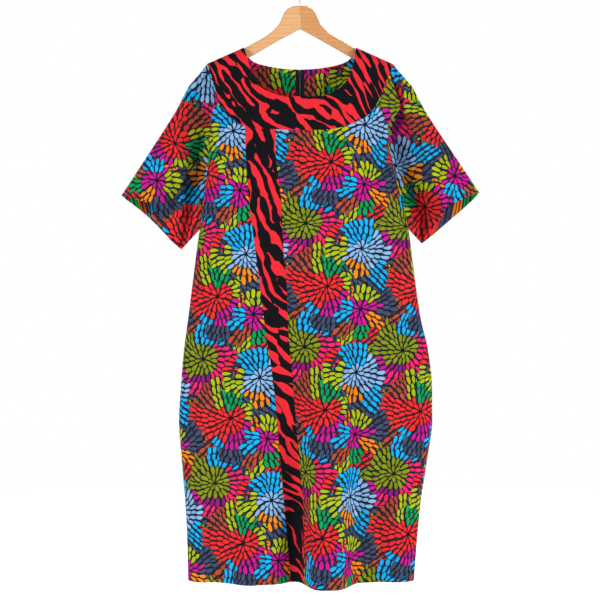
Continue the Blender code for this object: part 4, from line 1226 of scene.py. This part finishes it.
def local_place(tree, scale):
    """Object coordinates times a scale for each direction."""
    where = add_node(tree, "ShaderNodeTexCoord")
    stretch = add_node(tree, "ShaderNodeMapping", Vector=where.outputs["Object"])
    stretch.inputs["Scale"].default_value = scale
    return stretch


def wood(name, light, dark, turn):
    """Lacquered wood with long grain along a hanger's arm."""
    material, tree, shader = plain_material(name, light, 0.42, Coat_Weight=0.25, Coat_Roughness=0.25)
    place = local_place(tree, (5.0, 60.0, 75.0))
    place.inputs["Rotation"].default_value = (0, turn, 0)
    grain = Num(tree, noise(tree, place.outputs[0], 2.2, 6.0, 0.62).outputs[0])
    rings = add_node(
        tree, "ShaderNodeTexWave", Vector=place.outputs[0], Scale=0.55, Distortion=5.0, Detail=3.0,
        bands_direction="Z",
    )
    share = grain * 0.75 + Num(tree, rings.outputs[1]) * 0.3 - 0.08
    tree.links.new(mix(tree, (*dark, 1), (*light, 1), share), shader.inputs["Base Color"])
    plug(tree, shader.inputs["Roughness"], grain * 0.2 + 0.32)
    relief(tree, shader, grain, 0.0003, 0.4)
    return material


def metal(name, tone, scale):
    """Dark satin metal with fine drawn scratches."""
    material, tree, shader = plain_material(name, tone, 0.3, Metallic=1.0)
    scratch = Num(tree, noise(tree, local_place(tree, scale).outputs[0], 4.0, 4.0).outputs[0])
    plug(tree, shader.inputs["Roughness"], scratch * 0.3 + 0.16)
    relief(tree, shader, scratch, 0.0001)
    return material


def tape_material():
    """Black woven tape with slanting ribs."""
    material, tree, shader = plain_material(
        "zip_tape_weave", (0.008, 0.010, 0.014), 0.8, Specular_IOR_Level=0.15
    )
    place = local_place(tree, (900.0, 900.0, 900.0))
    ribs = add_node(
        tree, "ShaderNodeTexWave", Vector=place.outputs[0], Scale=1.2, bands_direction="DIAGONAL"
    ).outputs[1]
    tone = mix(tree, (0.004, 0.006, 0.009, 1), (0.013, 0.017, 0.024, 1), ribs)
    tree.links.new(tone, shader.inputs["Base Color"])
    relief(tree, shader, ribs, 0.0002)
    return material


def make_hard_parts():
    # The hanger's two halves share one wood in two tones: the left half's lighter copy is painted
    # light, and the right half's darker copy is painted shade
    light = wood("wood_light", (0.90, 0.53, 0.25), (0.69, 0.34, 0.13), 0.5)
    shaded = wood("wood_shaded", (0.80, 0.41, 0.165), (0.56, 0.245, 0.088), -0.5)
    wire = metal("hook_wire", (0.20, 0.20, 0.21), (60, 60, 8))
    black = metal("zip_metal", (0.03, 0.03, 0.034), (200, 200, 200))
    tape = tape_material()
    for node, material in (
        ("hanger_half_left", light), ("hanger_half_right", shaded), ("hook", wire),
        ("zip_slider", black), ("zip_pull", black), ("zip_tape_left", tape),
        ("zip_tape_right", tape),
    ):
        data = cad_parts[node].data
        data.materials.clear()
        data.materials.append(material)


# The zip: drops of its coil's ends and of its slider's inner plate, and that plate's size
ZIP_TOP = 0.2085
ZIP_END = 0.705
SLIDER_DROP = 0.2125
SLIDER_PLATE = (0.0088, 0.0014, 0.0100)
SLIDER_INSIDE = 0.0062  # how far inside the back's outer face the plate's middle is
SLIDER_CORNER = 0.6  # how square its corners are
# The plate's layers, from its inner face to its outer one: place through its thickness,
# share of its outline
SLIDER_LAYERS = ((-1.0, 0.0), (-1.0, 0.62), (-1.3, 0.78), (-1.0, 1.0), (1.0, 1.0), (1.0, 0.0))
COIL_PITCH = 0.0014
COIL_RADII = (0.0008, 0.00115)
COIL_WIDER = 1.35  # how much wider than deep the coil is
COIL_INSIDE = 0.0039
COIL_SIDES = 10


def ring_mesh(name, verts, count, caps=False):
    """A mesh from rings of count points each, and a face over each end if caps is set."""
    rings = len(verts) // count
    faces = []
    for k in range(rings - 1):
        for a in range(count):
            b = (a + 1) % count
            faces.append((k * count + a, (k + 1) * count + a, (k + 1) * count + b, k * count + b))
    if caps:
        end = (rings - 1) * count
        faces += [tuple(range(count)), tuple(end + k for k in reversed(range(count)))]
    data = bpy.data.meshes.new(name)
    data.from_pydata([tuple(v) for v in verts], [], faces)
    return data


def make_slider_plate():
    """The slider's other half, inside the back, as a rounded plate with a raised rim."""
    drop = np.array([SLIDER_DROP])
    place = place_of(1, 0.0, drop)
    out = body_normal(1, place, drop)[0]
    centre = body(1, place, drop)[0] - out * SLIDER_INSIDE
    wide, thick, tall = (s / 2 for s in SLIDER_PLATE)
    side = np.array([1.0, 0.0, 0.0])
    up = np.cross(side, out)
    turns = np.linspace(0, 2 * np.pi, 28, endpoint=False)
    x, y = (np.sign(t) * np.abs(t) ** SLIDER_CORNER for t in (np.cos(turns), np.sin(turns)))
    verts = [
        centre + out * depth * thick + side * a * wide * share + up * b * tall * share
        for depth, share in SLIDER_LAYERS for a, b in zip(x, y)
    ]
    data = ring_mesh("slider_inner_plate", verts, len(turns))
    mesh = bmesh.new()
    mesh.from_mesh(data)
    bmesh.ops.remove_doubles(mesh, verts=mesh.verts, dist=1e-6)
    bmesh.ops.recalc_face_normals(mesh, faces=mesh.faces)
    mesh.to_mesh(data)
    mesh.free()
    data.shade_smooth()
    data.set_sharp_from_angle(angle=math.radians(40))
    plate = add_object(data)
    data.materials.append(bpy.data.materials["zip_metal"])
    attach(plate, "dress")


def make_coil():
    """The zip's coil of teeth, on the tapes' inner face along the middle of the back."""
    halves = np.arange(int((ZIP_END - ZIP_TOP) / COIL_PITCH) * 2 + 1)
    drops = ZIP_TOP + halves * COIL_PITCH / 2
    place = place_of(1, 0.0, drops)
    normals = body_normal(1, place, drops)
    centre = body(1, place, drops) - normals * COIL_INSIDE
    side = unit(np.cross(unit(np.gradient(centre, axis=0)), normals))
    verts = []
    for k in halves:
        radius = COIL_RADII[k % 2]
        for a in np.linspace(0, 2 * np.pi, COIL_SIDES, endpoint=False):
            across = side[k] * math.cos(a) * radius * COIL_WIDER
            verts.append(centre[k] + across + normals[k] * math.sin(a) * radius)
    data = ring_mesh("zip_coil", verts, COIL_SIDES, caps=True)
    data.update()
    data.shade_smooth()
    coil = add_object(data)
    data.materials.append(plain_material("zip_teeth", (0.015, 0.015, 0.018), 0.35)[0])
    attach(coil, "dress")


# The stage: the floor's sides, front, rear and level, and the backdrop's radius
FLOOR = (3.5, -2.2, 3.5, -1.62)
BACKDROP = 12.0
LAMPS = (  # name, place, size, watts
    ("left softbox", (-2.5, -1.8, 0.3), 1.1, 60),
    ("right softbox", (2.5, -1.8, 0.3), 1.1, 64),
    ("back softbox", (1.4, 2.6, 1.6), 1.6, 85),
)
LAMPS_AIM = (0, 0, -0.7)
CAMERA_FAR = 2.8
CAMERA_WIDE = 1.29  # how wide the picture is at the dress
CAMERA_LEVEL = -0.7021
SENSOR = 36


def stage():
    """A white floor, a white backdrop all around, soft light, and the camera."""
    side, front, rear, low = FLOOR
    floor = bpy.data.meshes.new("floor")
    corners = [(-side, front, low), (side, front, low), (side, rear, low), (-side, rear, low)]
    floor.from_pydata(corners, [], [(0, 1, 2, 3)])
    backdrop = bpy.data.meshes.new("backdrop")
    ball = bmesh.new()
    bmesh.ops.create_icosphere(ball, subdivisions=3, radius=BACKDROP)
    ball.to_mesh(backdrop)
    ball.free()
    for data, tone, glow in ((floor, 0.5, 0.90), (backdrop, 0.0, 1.0)):
        thing = add_object(data)
        white = plain_material(
            data.name, (tone, tone, tone), 0.9,
            Specular_IOR_Level=0.0, Emission_Color=(1, 1, 1, 1), Emission_Strength=glow,
        )
        data.materials.append(white[0])
        if data is backdrop:
            thing.visible_diffuse = thing.visible_glossy = thing.visible_shadow = False

    world = bpy.data.worlds.new("white")
    world.use_nodes = True
    world.node_tree.nodes["Background"].inputs["Color"].default_value = (1, 1, 1, 1)
    world.node_tree.nodes["Background"].inputs["Strength"].default_value = 0.18
    bpy.context.scene.world = world
    for name, place, size, power in LAMPS:
        lamp = bpy.data.lights.new(name, "AREA")
        lamp.size = size
        lamp.energy = power
        light = add_object(lamp)
        light.location = place
        aim = Vector(LAMPS_AIM) - Vector(place)
        light.rotation_euler = aim.to_track_quat("-Z", "Y").to_euler()

    # The camera stands level, opposite the middle of the dress
    lens = bpy.data.cameras.new("camera")
    lens.lens = SENSOR * CAMERA_FAR / CAMERA_WIDE
    lens.sensor_width = SENSOR
    lens.clip_end = 50
    camera = add_object(lens)
    camera.location = (0, -CAMERA_FAR, CAMERA_LEVEL)
    camera.rotation_euler = (math.radians(90), 0, 0)
    bpy.context.scene.camera = camera
    bpy.context.scene.view_settings.view_transform = "Standard"
    bpy.context.scene.view_settings.look = "None"


stage()
make_cloth()
make_hard_parts()
make_coil()
make_slider_plate()
